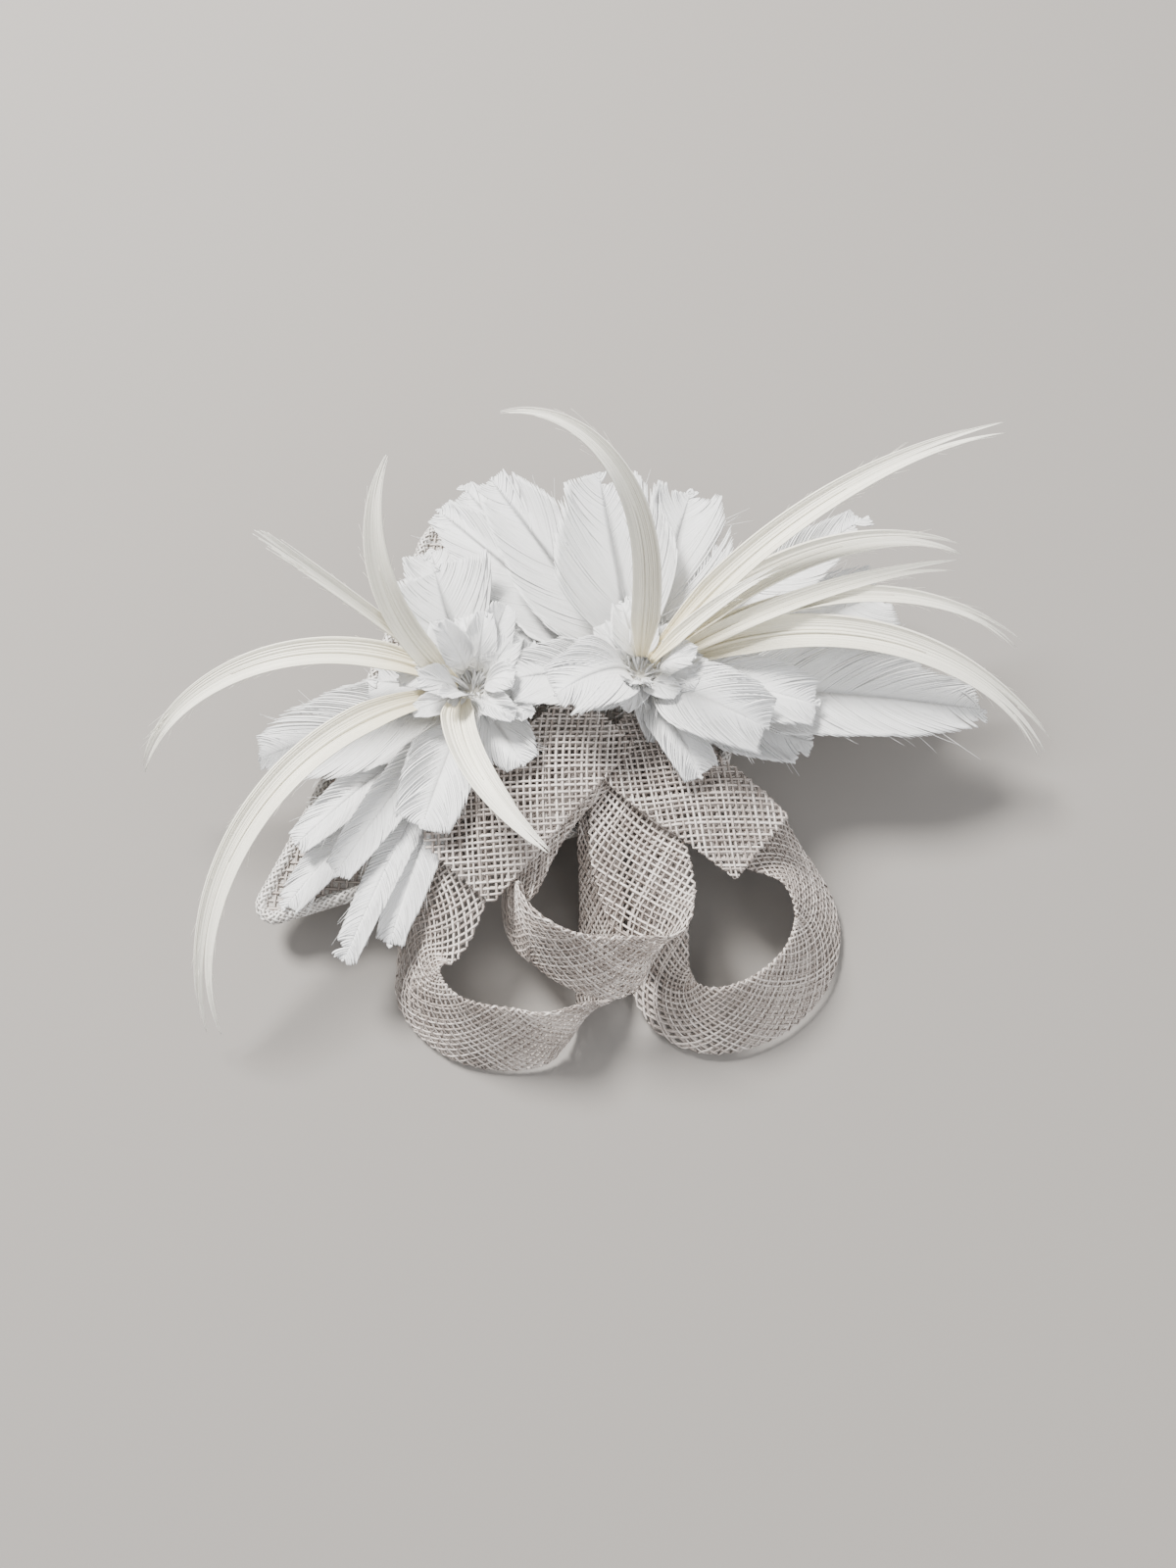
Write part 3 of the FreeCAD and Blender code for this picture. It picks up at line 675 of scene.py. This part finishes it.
# ---------------------------------------------------------------- woven sinamay
class Path:
    """A line through stations, with directions across and over it, read by distance in mm."""

    def __init__(self, line, side, width, closed=False):
        steps = np.linalg.norm(np.diff(line, axis=0), axis=1)
        self.stations = np.concatenate([[0.0], np.cumsum(steps)])
        self.length = self.stations[-1]
        ahead = unit(np.gradient(line, axis=0))
        if closed:
            ahead[0] = ahead[-1] = unit(ahead[0] + ahead[-1])
        side = unit(side - ahead * (side * ahead).sum(-1, keepdims=True))
        over = np.cross(ahead, side)
        self.table = np.hstack([line, side, over, width[:, None]])

    def read(self, distance):
        row = at_stations(self.table, self.stations, distance)
        return row[..., 0:3], row[..., 3:6], row[..., 6:9], row[..., 9]


def smooth_stations(rows, per_step):
    """A smooth curve through the rows, with per_step stations from one row to the next."""
    rows = np.array(rows)
    padded = np.vstack([2 * rows[0] - rows[1], rows, 2 * rows[-1] - rows[-2]])
    out = []
    for k in range(len(rows) - 1):
        a, b, c, d = padded[k:k + 4]
        for i in range(per_step):
            f = i / per_step
            bend = 2 * a - 5 * b + 4 * c - d + f * (3 * (b - c) + d - a)
            out.append(b + 0.5 * f * (c - a + f * bend))
    out.append(rows[-1])
    return np.array(out)


def flat_section(turn, width, gap, lift):
    """A folded strip: two layers, gap apart, that wrap round at both edges."""
    share = turn % 1.0
    across = 1 - 4 * np.abs(share - 0.5)
    layer = np.where(share < 0.5, 1.0, -1.0)
    inside = np.clip((1 - np.abs(across)) / 0.07, 0.0, 1.0) ** 0.5
    return across * (width / 2 + lift * (1 - inside)), layer * inside * (gap / 2 + lift)


def round_section(turn, width, height, lift):
    angle = 2 * math.pi * turn
    return (width / 2 + lift) * np.cos(angle), (height / 2 + lift) * np.sin(angle)


def weave_round(strands, path, section, perimeter, count, size, random, v_end=None):
    """Two families of threads that wind opposite ways round a path, over and under each other."""
    spacing = perimeter / count
    samples = int(path.length / spacing * 4) + 1
    for family in (-1, 1):
        offset = (np.arange(count) + random.normal(0, 0.07, count)) / count
        last = np.full(count, path.length)
        if v_end is not None:
            last = v_end(offset, family, perimeter)
        distance = last[:, None] * np.linspace(0, 1, samples)[None, :]
        slow = random.uniform(6, 14, count)[:, None]
        drift = 0.006 * np.sin(distance / slow + random.uniform(0, 6, count)[:, None])
        turn = offset[:, None] + family * distance / perimeter + drift
        lift = size["amplitude"] * family * np.cos(2 * math.pi * distance / spacing)
        centre, side, over, width = path.read(np.minimum(distance, path.length))
        placed = []
        for extra in (0.0, 0.05):
            b, h = section(turn, width, lift + extra)
            placed.append(centre + side * b[..., None] + over * h[..., None])
        points, outside = placed
        ahead = unit(np.gradient(points, axis=1))
        outward = unit(outside - points)
        across = unit(np.cross(outward, ahead))
        outward = np.cross(ahead, across)
        wide = size["wide"] * random.uniform(0.75, 1.15, count)[:, None]
        thick = size["thick"] * random.uniform(0.8, 1.2, count)[:, None]
        ones = np.ones_like(distance)
        strands.add(points, across, outward, wide / 2 * ones, thick / 2 * ones,
                    random.random(count), distance / 100)


RIBBON_GAP = 0.5
RIBBON_THREAD = {"wide": 0.5, "thick": 0.18, "amplitude": 0.09}
RIBBON_THREADS = 22


def ribbon(name, rows):
    """A bias strip of sinamay, folded double, so that its threads wrap round at both edges."""
    random = seeded(name)
    table = smooth_stations(rows, 12)
    path = Path(table[:, :3], table[:, 3:6], RIBBON_WIDE * table[:, 6])
    strands = Strands()
    perimeter = 2 * RIBBON_WIDE

    def section(turn, width, lift):
        return flat_section(turn, width, RIBBON_GAP, lift)

    def cut(offset, family, around):
        """How far each thread runs before the cut end, with a little fraying."""
        short_a, short_b = CUT_ENDS[name]
        distance = np.linspace(0, path.length, 900)[None, :]
        turn = offset[:, None] + family * distance / around
        across = flat_section(turn, 2.0, 0.0, 0.0)[0]
        limit = path.length - np.where(across < 0, -across * short_a, across * short_b)
        beyond = distance > limit
        first = np.where(beyond.any(1), beyond.argmax(1), beyond.shape[1] - 1)
        return np.minimum(distance[0, first] + random.uniform(-0.4, 1.6, len(offset)), path.length)

    weave_round(strands, path, section, perimeter, RIBBON_THREADS, RIBBON_THREAD, random,
                cut if name in CUT_ENDS else None)
    obj = stand_for(strand_mesh(name + "_weave", strands, SINAMAY), "sinamay_ribbon", name)


# ---------------------------------------------------------------- base
def dome_height(x, y, under):
    """The height of the domed base, lowered by under."""
    square = (x - DOME_CENTRE[0]) ** 2 + (y - DOME_CENTRE[1]) ** 2
    return BASE_TOP - DOME_RADIUS + np.sqrt((DOME_RADIUS - under) ** 2 - square)


def bend_through(start, middle, end, count):
    """Points on the circle through three points, from the first to the last."""
    a, b = middle - start, end - start
    turn = 2 * (a[0] * b[1] - a[1] * b[0])
    square_a, square_b = a @ a, b @ b
    shift = np.array([b[1] * square_a - a[1] * square_b, a[0] * square_b - b[0] * square_a])
    centre = start + shift / turn
    first = math.atan2(*(start - centre)[::-1])
    sweep = (math.atan2(*(end - centre)[::-1]) - first) * np.sign(turn) % (2 * math.pi) * np.sign(turn)
    angle = first + sweep * np.linspace(0, 1, count)
    return centre + np.linalg.norm(start - centre) * np.stack([np.cos(angle), np.sin(angle)], axis=-1)


def leaf(grow):
    """The outline of the base, moved outwards by grow, as a closed line of even steps."""
    corners = [(np.array([x, y]), max(0.6, r + grow), hollow) for x, y, r, hollow in BASE_CORNERS]
    count = len(corners)
    normals = []
    for i in range(count):
        here, near, _ = corners[i]
        there, far, _ = corners[(i + 1) % count]
        gap = np.linalg.norm(there - here)
        ahead = (there - here) / gap
        lean = (near - far) / gap
        normals.append(ahead * lean + np.array([ahead[1], -ahead[0]]) * math.sqrt(1 - lean ** 2))
    line = []
    for i in range(count):
        here, near, hollow = corners[i]
        there, far, _ = corners[(i + 1) % count]
        before, after = normals[i - 1], normals[i]
        start, end = here + after * near, there + after * far
        line.append(bend_through(here + before * near, here + unit(before + after) * near, start, 60))
        if hollow:
            line.append(bend_through(start, (start + end) / 2 - after * hollow, end, 60)[1:-1])
    loop = np.vstack(line + [line[0][:1]])
    steps = np.concatenate([[0], np.cumsum(np.linalg.norm(np.diff(loop, axis=0), axis=1))])
    even = np.linspace(0, steps[-1], 400)
    return np.stack([np.interp(even, steps, loop[:, k]) for k in range(2)], axis=-1)


def chords(outline, angle, spacing):
    """Straight lines at an angle over the outline: the start and end of each inside it."""
    ahead = np.array([math.cos(angle), math.sin(angle)])
    across = np.array([-ahead[1], ahead[0]])
    u, w = outline @ ahead, outline @ across
    out = []
    for level in np.arange(w.min() + spacing / 2, w.max(), spacing):
        crosses = np.nonzero((w[:-1] - level) * (w[1:] - level) < 0)[0]
        hits = sorted(u[i] + (u[i + 1] - u[i]) * (level - w[i]) / (w[i + 1] - w[i]) for i in crosses)
        for first, last in zip(hits[::2], hits[1::2]):
            if last - first > 2 * spacing:
                out.append((first * ahead + level * across, last * ahead + level * across))
    return out


def base_cover():
    """One layer of sinamay over the form, laid on the bias."""
    random = seeded("base_cover")
    spacing = 1.5
    outline = leaf(-0.3)
    strands = Strands()
    for family, degrees in ((1, WEAVE_ANGLE + 45), (-1, WEAVE_ANGLE - 45)):
        angle = math.radians(degrees)
        for start, end in chords(outline, angle, spacing):
            length = np.linalg.norm(end - start)
            samples = int(length / spacing * 4) + 2
            t = np.linspace(0, 1, samples)[:, None]
            flat = start + (end - start) * t
            along = flat @ np.array([math.cos(angle), math.sin(angle)])
            other = flat @ np.array([-math.sin(angle), math.cos(angle)])
            row = np.round(other / spacing)
            lift = 0.08 * family * np.cos(math.pi * along / spacing) * np.where(row % 2 == 0, 1, -1)
            height = dome_height(flat[:, 0], flat[:, 1], COVER_THICK / 2) + lift
            points = np.column_stack([flat, height])[None]
            side, over = across_line(points, UP)
            wide = np.full((1, samples), 0.28 * random.uniform(0.8, 1.15))
            thick = np.full((1, samples), 0.085)
            strands.add(points, side, over, wide, thick, random.random(1), t.T * length / 100)
    obj = stand_for(strand_mesh("base_cover_weave", strands, SINAMAY_BASE), "sinamay_base", "base_cover")
    flat, area = flat_size(outline)


def edge_path(grow, under):
    outline = leaf(grow)
    height = dome_height(outline[:, 0], outline[:, 1], under)
    line = np.column_stack([outline, height])
    ahead = unit(np.gradient(line, axis=0))
    ahead[0] = ahead[-1] = unit(ahead[0] + ahead[-1])
    side = unit(np.cross(ahead, np.array(UP)))
    return Path(line, side, np.full(len(line), BINDING_WIDE), closed=True)


def tube(path, width, height, sides, name, material):
    """A closed ring of solid cloth along a closed path."""
    count = 300
    distance = np.linspace(0, path.length, count, endpoint=False)
    centre, side, over, _ = path.read(distance)
    angle = np.linspace(0, 2 * math.pi, sides, endpoint=False)
    ring = centre[:, None] + side[:, None] * (np.cos(angle) * width / 2)[None, :, None]
    ring = ring + over[:, None] * (np.sin(angle) * height / 2)[None, :, None]
    index = np.arange(count * sides).reshape(count, sides)
    faces = ring_quads(np.vstack([index, index[:1]]))
    return new_mesh(name, ring.reshape(-1, 3), faces, material)


def base_binding():
    """A bias strip rolled over the edge of the base."""
    random = seeded("base_binding")
    middle = (COVER_THICK + FORM_THICK) / 2
    path = edge_path(0.0, middle)
    turns = round(path.length / 9.4)
    perimeter = path.length / turns
    strands = Strands()

    def section(turn, width, lift):
        return round_section(turn, width - 0.2, BINDING_HIGH - 0.2, lift)

    thread = {"wide": 0.6, "thick": 0.2, "amplitude": 0.08}
    weave_round(strands, path, section, perimeter, 7, thread, random)
    stand_for(strand_mesh("base_binding_weave", strands, SINAMAY_EDGE), "sinamay_binding", "base_binding")
    core = tube(path, BINDING_WIDE - 0.5, BINDING_HIGH - 0.5, 12, "base_binding_fold", BUCKRAM)
    stand_for(core, "sinamay_binding")


def felt_pad():
    """The lining: a thick felt that follows the dome, with a nap of loose fibre under it."""
    random = seeded("felt")
    outline = leaf(-FELT_INSET)[:-1]
    centre = outline.mean(0)
    rings = 26
    plate_low, plate_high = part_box("clip_plate")
    share = np.linspace(0, 1, rings)[1:] ** 0.8
    flat = centre + (outline - centre)[None] * share[:, None, None]
    x, y = flat[..., 0], flat[..., 1]
    under_top = COVER_THICK + FORM_THICK
    top = dome_height(x, y, under_top + 0.03)
    swell = 0.07 * np.sin(x * 1.7 + 2 * np.sin(y * 0.9)) * np.sin(y * 1.3)
    bottom = dome_height(x, y, under_top + FELT_THICK) + swell + 0.5 * share[:, None] ** 14
    margin = 0.6
    over_clip = (x > plate_low.x / MM - margin) & (x < plate_high.x / MM + margin)
    over_clip &= (y > plate_low.y / MM - margin) & (y < plate_high.y / MM + margin)
    bottom = np.where(over_clip, np.maximum(bottom, plate_high.z / MM + 0.1), bottom)
    around = len(outline)
    middle = np.array([[*centre, dome_height(*centre, under_top + 0.03)],
                       [*centre, dome_height(*centre, under_top + FELT_THICK)]])
    points = np.vstack([
        np.stack([x, y, top], axis=-1).reshape(-1, 3),
        np.stack([x, y, bottom], axis=-1).reshape(-1, 3),
        middle,
    ])
    index = np.arange((rings - 1) * around).reshape(rings - 1, around)
    low = index + index.size
    faces = []
    for grid, flip in ((index, False), (low, True)):
        near, far = grid[:-1], grid[1:]
        quad = np.stack([near, far, np.roll(far, -1, 1), np.roll(near, -1, 1)], axis=-1).reshape(-1, 4)
        faces.append(quad[:, ::-1] if flip else quad)
    rim = np.stack([index[-1], low[-1], np.roll(low[-1], -1), np.roll(index[-1], -1)], axis=-1)
    faces.append(rim)
    quads = np.concatenate(faces)
    triangles = np.concatenate([
        quads[:, [0, 1, 2]], quads[:, [0, 2, 3]],
        np.stack([np.full(around, 2 * index.size), index[0], np.roll(index[0], -1)], axis=-1),
        np.stack([np.full(around, 2 * index.size + 1), np.roll(low[0], -1), low[0]], axis=-1),
    ])
    obj = new_mesh("felt_pad_lining", points, triangles, FELT)
    stand_for(obj, "felt", "felt_pad")
    flat, area = flat_size(outline)
    nap(points[index.size:2 * index.size].reshape(rings - 1, around, 3), random)


def nap(surface, random):
    """Short curled fibres on the underside of the felt."""
    count = 2600
    ring = random.integers(2, surface.shape[0] - 1, count)
    spot = random.integers(0, surface.shape[1], count)
    start = surface[ring, spot] + random.normal(0, 0.5, (count, 3)) * np.array([1, 1, 0])
    t = np.linspace(0, 1, 6)[None, :, None]
    angle = random.uniform(0, 2 * math.pi, count)[:, None, None] + 2.4 * t
    reach = random.uniform(0.5, 1.6, count)[:, None, None]
    flat = np.concatenate([np.cos(angle), np.sin(angle)], axis=-1) * reach * t
    drop = -0.22 * np.sin(math.pi * t) * np.ones((count, 1, 1))
    points = start[:, None] + np.concatenate([flat, drop], axis=-1)
    side, over = across_line(points, UP)
    size = np.full(points.shape[:2], 0.022)
    strands = Strands()
    strands.add(points, side, over, size, size, random.random(count), np.zeros(points.shape[:2]))
    stand_for(strand_mesh("felt_pad_nap", strands, THREAD), "felt")


# ---------------------------------------------------------------- bindings and small threads
def add_round_thread(strands, line, radius, tint):
    """A round thread along a line, as two crossed strips."""
    points = np.array(line)[None]
    side, over = across_line(points, (0.31, 0.27, 0.91))
    size = np.full(points.shape[:2], radius)
    along = np.linspace(0, 1, points.shape[1])[None]
    strands.add(points, side, over, size, size, np.array([tint]), along)


def core_binding(key):
    """Thread wound round the quills of one cluster, over a wadding core."""
    node = "core_" + key
    low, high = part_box(node)
    cx, cy = (low.x + high.x) / 2 / MM, (low.y + high.y) / 2 / MM
    bottom, top = low.z / MM + 0.1, high.z / MM - WADDING_DROP
    random = seeded(node)
    heights = np.linspace(0, 1, 22)
    angle = np.linspace(0, 2 * math.pi, 40, endpoint=False)
    crown = np.sqrt(np.maximum(0.02, 1 - ((heights - 0.78) / 0.23) ** 2))
    radius = (CORE_RADIUS - 0.45) * np.where(heights < 0.78, 1.0, crown)
    ripple = 1 + 0.03 * np.sin(5 * angle)[None] * np.cos(9 * heights)[:, None]
    ring = radius[:, None] * ripple
    z = bottom + (top - bottom) * heights
    points = np.stack([cx + ring * np.cos(angle), cy + ring * np.sin(angle),
                       np.broadcast_to(z[:, None], ring.shape)], axis=-1)
    index = np.arange(ring.size).reshape(ring.shape)
    quads = ring_quads(index)
    centre = ring.size
    foot = np.stack([np.full(40, centre), np.roll(index[0], -1), index[0]], axis=-1)
    head = np.stack([np.full(40, centre + 1), index[-1], np.roll(index[-1], -1)], axis=-1)
    faces = np.concatenate([quads[:, [0, 1, 2]], quads[:, [0, 2, 3]], foot, head])
    caps = np.array([[cx, cy, bottom], [cx, cy, z[-1]]])
    solid = new_mesh(node + "_wadding", np.vstack([points.reshape(-1, 3), caps]), faces, WADDING)
    stand_for(solid, "wadding", node)
    strands = Strands()
    wound = 0.74 * (top - bottom)
    for layer in range(2):
        turns = int(wound / (0.5 + 0.3 * layer))
        t = np.linspace(0, 1, turns * 28)
        turn = 2 * math.pi * turns * t * (1 - 2 * layer) + layer
        out = CORE_RADIUS - 0.36 + 0.14 * layer + 0.05 * np.sin(turn * 2.37)
        height = bottom + 0.3 + wound * t + 0.1 * np.sin(turn * 0.71)
        line = np.column_stack([cx + out * np.cos(turn), cy + out * np.sin(turn), height])
        add_round_thread(strands, line, 0.16, 0.3 + 0.4 * layer + 0.1 * random.random())
    stand_for(strand_mesh(node + "_winding", strands, THREAD), "thread")


def core_down(key, first):
    """Small curled feathers that hide the top of one cluster."""
    node = "core_" + key + "_down"
    random = seeded(node)
    strands = Strands()
    count = 19
    for i in range(count):
        azimuth = first + 360 * i * 7 / count + random.uniform(-10, 10)
        up = 7.4 + 3.2 * i / count
        length, width = random.uniform(9.0, 14.0), random.uniform(5.5, 8.0)
        quill = Quill(key, up, azimuth, random.uniform(35, 60) + 34 * i / count, length,
                      random.uniform(-100, -30), random.uniform(-40, 40), 1.0)
        wave = (random.uniform(0.2, 0.6), random.uniform(0, 6.28))
        for sign in (-1, 1):
            vane_side(strands, quill, width, 0.45, sign, random, wave)
        loose_barbs(strands, quill, 1.6 * width, random)
    low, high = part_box("core_" + key)
    middle = np.array([(low.x + high.x) / 2, (low.y + high.y) / 2, high.z])
    centre = middle / MM - np.array([0, 0, TUFT_DROP])
    add_tuft(strands, centre, random)
    stand_for(strand_mesh(node, strands, PETAL), "petal_white")


def add_tuft(strands, centre, random):
    """A tuft of short spiky barbs that fan out of one spot."""
    count = 150
    turn = random.uniform(0, 2 * math.pi, count)
    out = CORE_RADIUS * 0.8 * np.sqrt(random.random(count))
    lean = np.radians(random.uniform(5, 60, count)) * (0.4 + 0.6 * out / CORE_RADIUS)
    reach = random.uniform(3.5, 8.5, count)
    t = np.linspace(0, 1, 8)[None, :]
    curl = lean[:, None] + random.uniform(0.0, 1.2, count)[:, None] * t
    step = reach[:, None] * np.diff(t, prepend=0.0)
    away = out[:, None] + np.cumsum(np.sin(curl) * step, axis=1)
    rise = np.cumsum(np.cos(curl) * step, axis=1)
    twist = turn[:, None] + random.normal(0, 0.25, count)[:, None] * t
    points = centre + np.stack([away * np.cos(twist), away * np.sin(twist), rise], axis=-1)
    ahead = unit(np.gradient(points, axis=1))
    side = np.stack([-np.sin(twist), np.cos(twist), np.zeros_like(twist)], axis=-1)
    side = unit(side - ahead * (side * ahead).sum(-1, keepdims=True))
    over = np.cross(ahead, side)
    half_wide = random.uniform(0.12, 0.5, count)[:, None] * np.sin(math.pi * (0.12 + 0.85 * t))
    half_thick = np.full(t.shape, 0.04) * np.ones_like(twist)
    along = 0.3 + 0.7 * t * np.ones_like(twist)
    strands.add(points, side, over, half_wide, half_thick, random.random(count), along)


def loop_tie():
    """Thread wound round the tied ends of the ribbons."""
    low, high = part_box("loop_tie")
    cx, cy, cz = (low + high) / 2 / MM
    wide, high_by = (high.x - low.x) / 2 / MM - 0.25, (high.z - low.z) / 2 / MM - 0.2
    turns = 7
    t = np.linspace(0, 1, turns * 48)
    angle = 2 * math.pi * turns * t
    corner = (np.abs(np.cos(angle)) ** 6 + np.abs(np.sin(angle)) ** 6) ** (-1 / 6)
    y = cy - 0.45 + 0.9 * t
    line = np.column_stack([cx + wide * corner * np.cos(angle), y, cz + high_by * corner * np.sin(angle)])
    strands = Strands()
    add_round_thread(strands, line, 0.15, 0.5)
    stand_for(strand_mesh("loop_tie_thread", strands, THREAD), "thread", "loop_tie")


# ---------------------------------------------------------------- clip
def clip_spring():
    """A torsion spring: its top leg lies under the plate, and its low leg reaches down towards the jaw.
    """
    joint = frame["joints"][0]
    x, _, z = (v / MM for v in joint["pos_m"])
    pitch = 2 * SPRING_WIRE + 0.25
    long = pitch * SPRING_TURNS
    plate_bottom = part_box("clip_plate")[1].z / MM - CLIP_SHEET
    t = np.linspace(0, 1, int(SPRING_TURNS * 32))
    angle = math.pi / 2 + 2 * math.pi * SPRING_TURNS * t
    round_x, round_z = SPRING_RADIUS * np.cos(angle), SPRING_RADIUS * np.sin(angle)
    coil = np.column_stack([x + round_x, long * (t - 0.5), z + round_z])
    top = np.array([x + 8.0, -long / 2, plate_bottom - SPRING_WIRE - 0.1])
    low = np.array([x + 7.0, long / 2, z - 3.2])
    leg = np.linspace(0, 1, 12)[:-1, None]
    line = np.vstack([top + (coil[0] - top) * leg, coil, (low + (coil[-1] - low) * leg)[::-1]])
    curve = bpy.data.curves.new("clip_spring_wire", "CURVE")
    curve.dimensions = "3D"
    curve.bevel_depth = SPRING_WIRE * MM
    curve.bevel_resolution = 4
    curve.use_fill_caps = True
    spline = curve.splines.new("POLY")
    spline.points.add(len(line) - 1)
    for point, place in zip(spline.points, line):
        point.co = (*(place * MM), 1.0)
    bent = bpy.data.objects.new("clip_spring_curve", curve)
    bpy.context.scene.collection.objects.link(bent)
    bpy.context.view_layer.update()
    mesh = bpy.data.meshes.new_from_object(bent.evaluated_get(bpy.context.evaluated_depsgraph_get()))
    bpy.data.objects.remove(bent)
    mesh.name = "clip_spring_wire"
    mesh.materials.clear()
    mesh.materials.append(SPRING_STEEL)
    mesh.polygons.foreach_set("use_smooth", np.full(len(mesh.polygons), True))
    obj = bpy.data.objects.new("clip_spring_wire", mesh)
    bpy.context.scene.collection.objects.link(obj)
    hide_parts("clip_spring")
    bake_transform(obj)


def clip_stitches():
    """Bars of thread over the clip's plate, each of four strands, with a running thread beside them."""
    _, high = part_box("clip_stitches")
    plate_low, plate_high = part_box("clip_plate")
    half = plate_high.y / MM
    bottom = high.z / MM - 0.4 - CLIP_SHEET
    left = plate_low.x / MM
    strands = Strands()
    for x in (left + 6.0, left + 15.0, left + 40.0):
        for lane in np.linspace(-0.3, 0.3, 4):
            y = np.array([-1.05, -1.05, -1.0, -0.6, 0.6, 1.0, 1.05, 1.05]) * half
            z = np.array([1.2, 0.6, 0.05, -0.12, -0.12, 0.05, 0.6, 1.2]) + bottom
            fine = np.linspace(0, 7, 60)
            steps = np.arange(8)
            y_line, z_line = np.interp(fine, steps, y), np.interp(fine, steps, z)
            line = np.column_stack([np.full(60, x + lane), y_line, z_line])
            add_round_thread(strands, line, 0.13, 0.4 + lane)
    t = np.linspace(0, 1, 300)
    height = bottom + 0.05 + 0.1 * np.sin(40 * t)
    run = np.column_stack([left + 6.0 + 34.0 * t, np.full(300, half + 0.25), height])
    add_round_thread(strands, run, 0.15, 0.5)
    stand_for(strand_mesh("clip_stitches_thread", strands, THREAD), "thread", "clip_stitches")


def dress_cad_nodes():
    """Metal and stiffened cloth keep their CAD shape and get their own materials."""
    looks = {
        "base_form": BUCKRAM,
        "clip_plate": CLIP_STEEL,
        "clip_pin": CLIP_STEEL,
        "clip_jaw": CLIP_STEEL,
    }
    for node, material in looks.items():
        obj = frame["nodes"][node]
        obj.data.materials.clear()
        obj.data.materials.append(material)
        if node != "base_form":
            bevel = obj.modifiers.new("soft_edges", "BEVEL")
            bevel.width = 0.12 * MM
            bevel.segments = 2
            bevel.limit_method = "ANGLE"
            bevel.angle_limit = math.radians(40)


# ---------------------------------------------------------------- floor, lights and camera
def stage():
    mesh = bpy.data.meshes.new("floor")
    size = 3.0
    corners = [(-size, -size, 0), (size, -size, 0), (size, size, 0), (-size, size, 0)]
    mesh.from_pydata(corners, [], [(0, 1, 2, 3)])
    floor = bpy.data.objects.new("floor", mesh)
    floor.location.z = -0.0002
    bpy.context.scene.collection.objects.link(floor)
    material, _, _, shader = new_material("floor")
    shader.inputs["Base Color"].default_value = (0.22, 0.205, 0.19, 1.0)
    shader.inputs["Roughness"].default_value = 0.85
    mesh.materials.append(material)


def light(name, place, target, size, power, colour):
    data = bpy.data.lights.new(name, "AREA")
    data.shape = "DISK"
    data.size = size
    data.energy = power
    data.color = colour
    obj = bpy.data.objects.new(name, data)
    obj.location = place
    aim = Vector(target) - Vector(place)
    obj.rotation_euler = aim.to_track_quat("-Z", "Y").to_euler()
    bpy.context.scene.collection.objects.link(obj)


def lights():
    light("key", (-0.45, 0.55, 0.85), (0, 0, 0.01), 0.35, 46.0, (1.0, 0.985, 0.955))
    light("fill", (0.7, -0.5, 0.6), (0, 0, 0.01), 0.9, 7.0, (0.97, 0.98, 1.0))
    world = bpy.data.worlds.new("studio")
    world.use_nodes = True
    world.node_tree.nodes["Background"].inputs["Color"].default_value = (0.97, 0.98, 1.0, 1.0)
    world.node_tree.nodes["Background"].inputs["Strength"].default_value = 0.85
    bpy.context.scene.world = world


def camera():
    data = bpy.data.cameras.new("camera")
    data.lens = 27.04
    data.sensor_width = 36.0
    data.clip_start = 0.01
    obj = bpy.data.objects.new("camera", data)
    obj.location = (0.0, -0.088, 0.228)
    aim = Vector((0.0, 0.3157, -0.9489))
    obj.rotation_euler = aim.to_track_quat("-Z", "Y").to_euler()
    bpy.context.scene.collection.objects.link(obj)
    bpy.context.scene.camera = obj


camera()
lights()
stage()
dress_cad_nodes()
for node, rows in RIBBONS.items():
    ribbon(node, rows)
for node, row in PETALS.items():
    petal(node, row)
for node, row in BIOTS.items():
    biot(node, row)
base_cover()
base_binding()
felt_pad()
for key in ROOT_ABOVE_CORE_TOP:
    core_binding(key)
    core_down(key, 20)
loop_tie()
clip_spring()
clip_stitches()
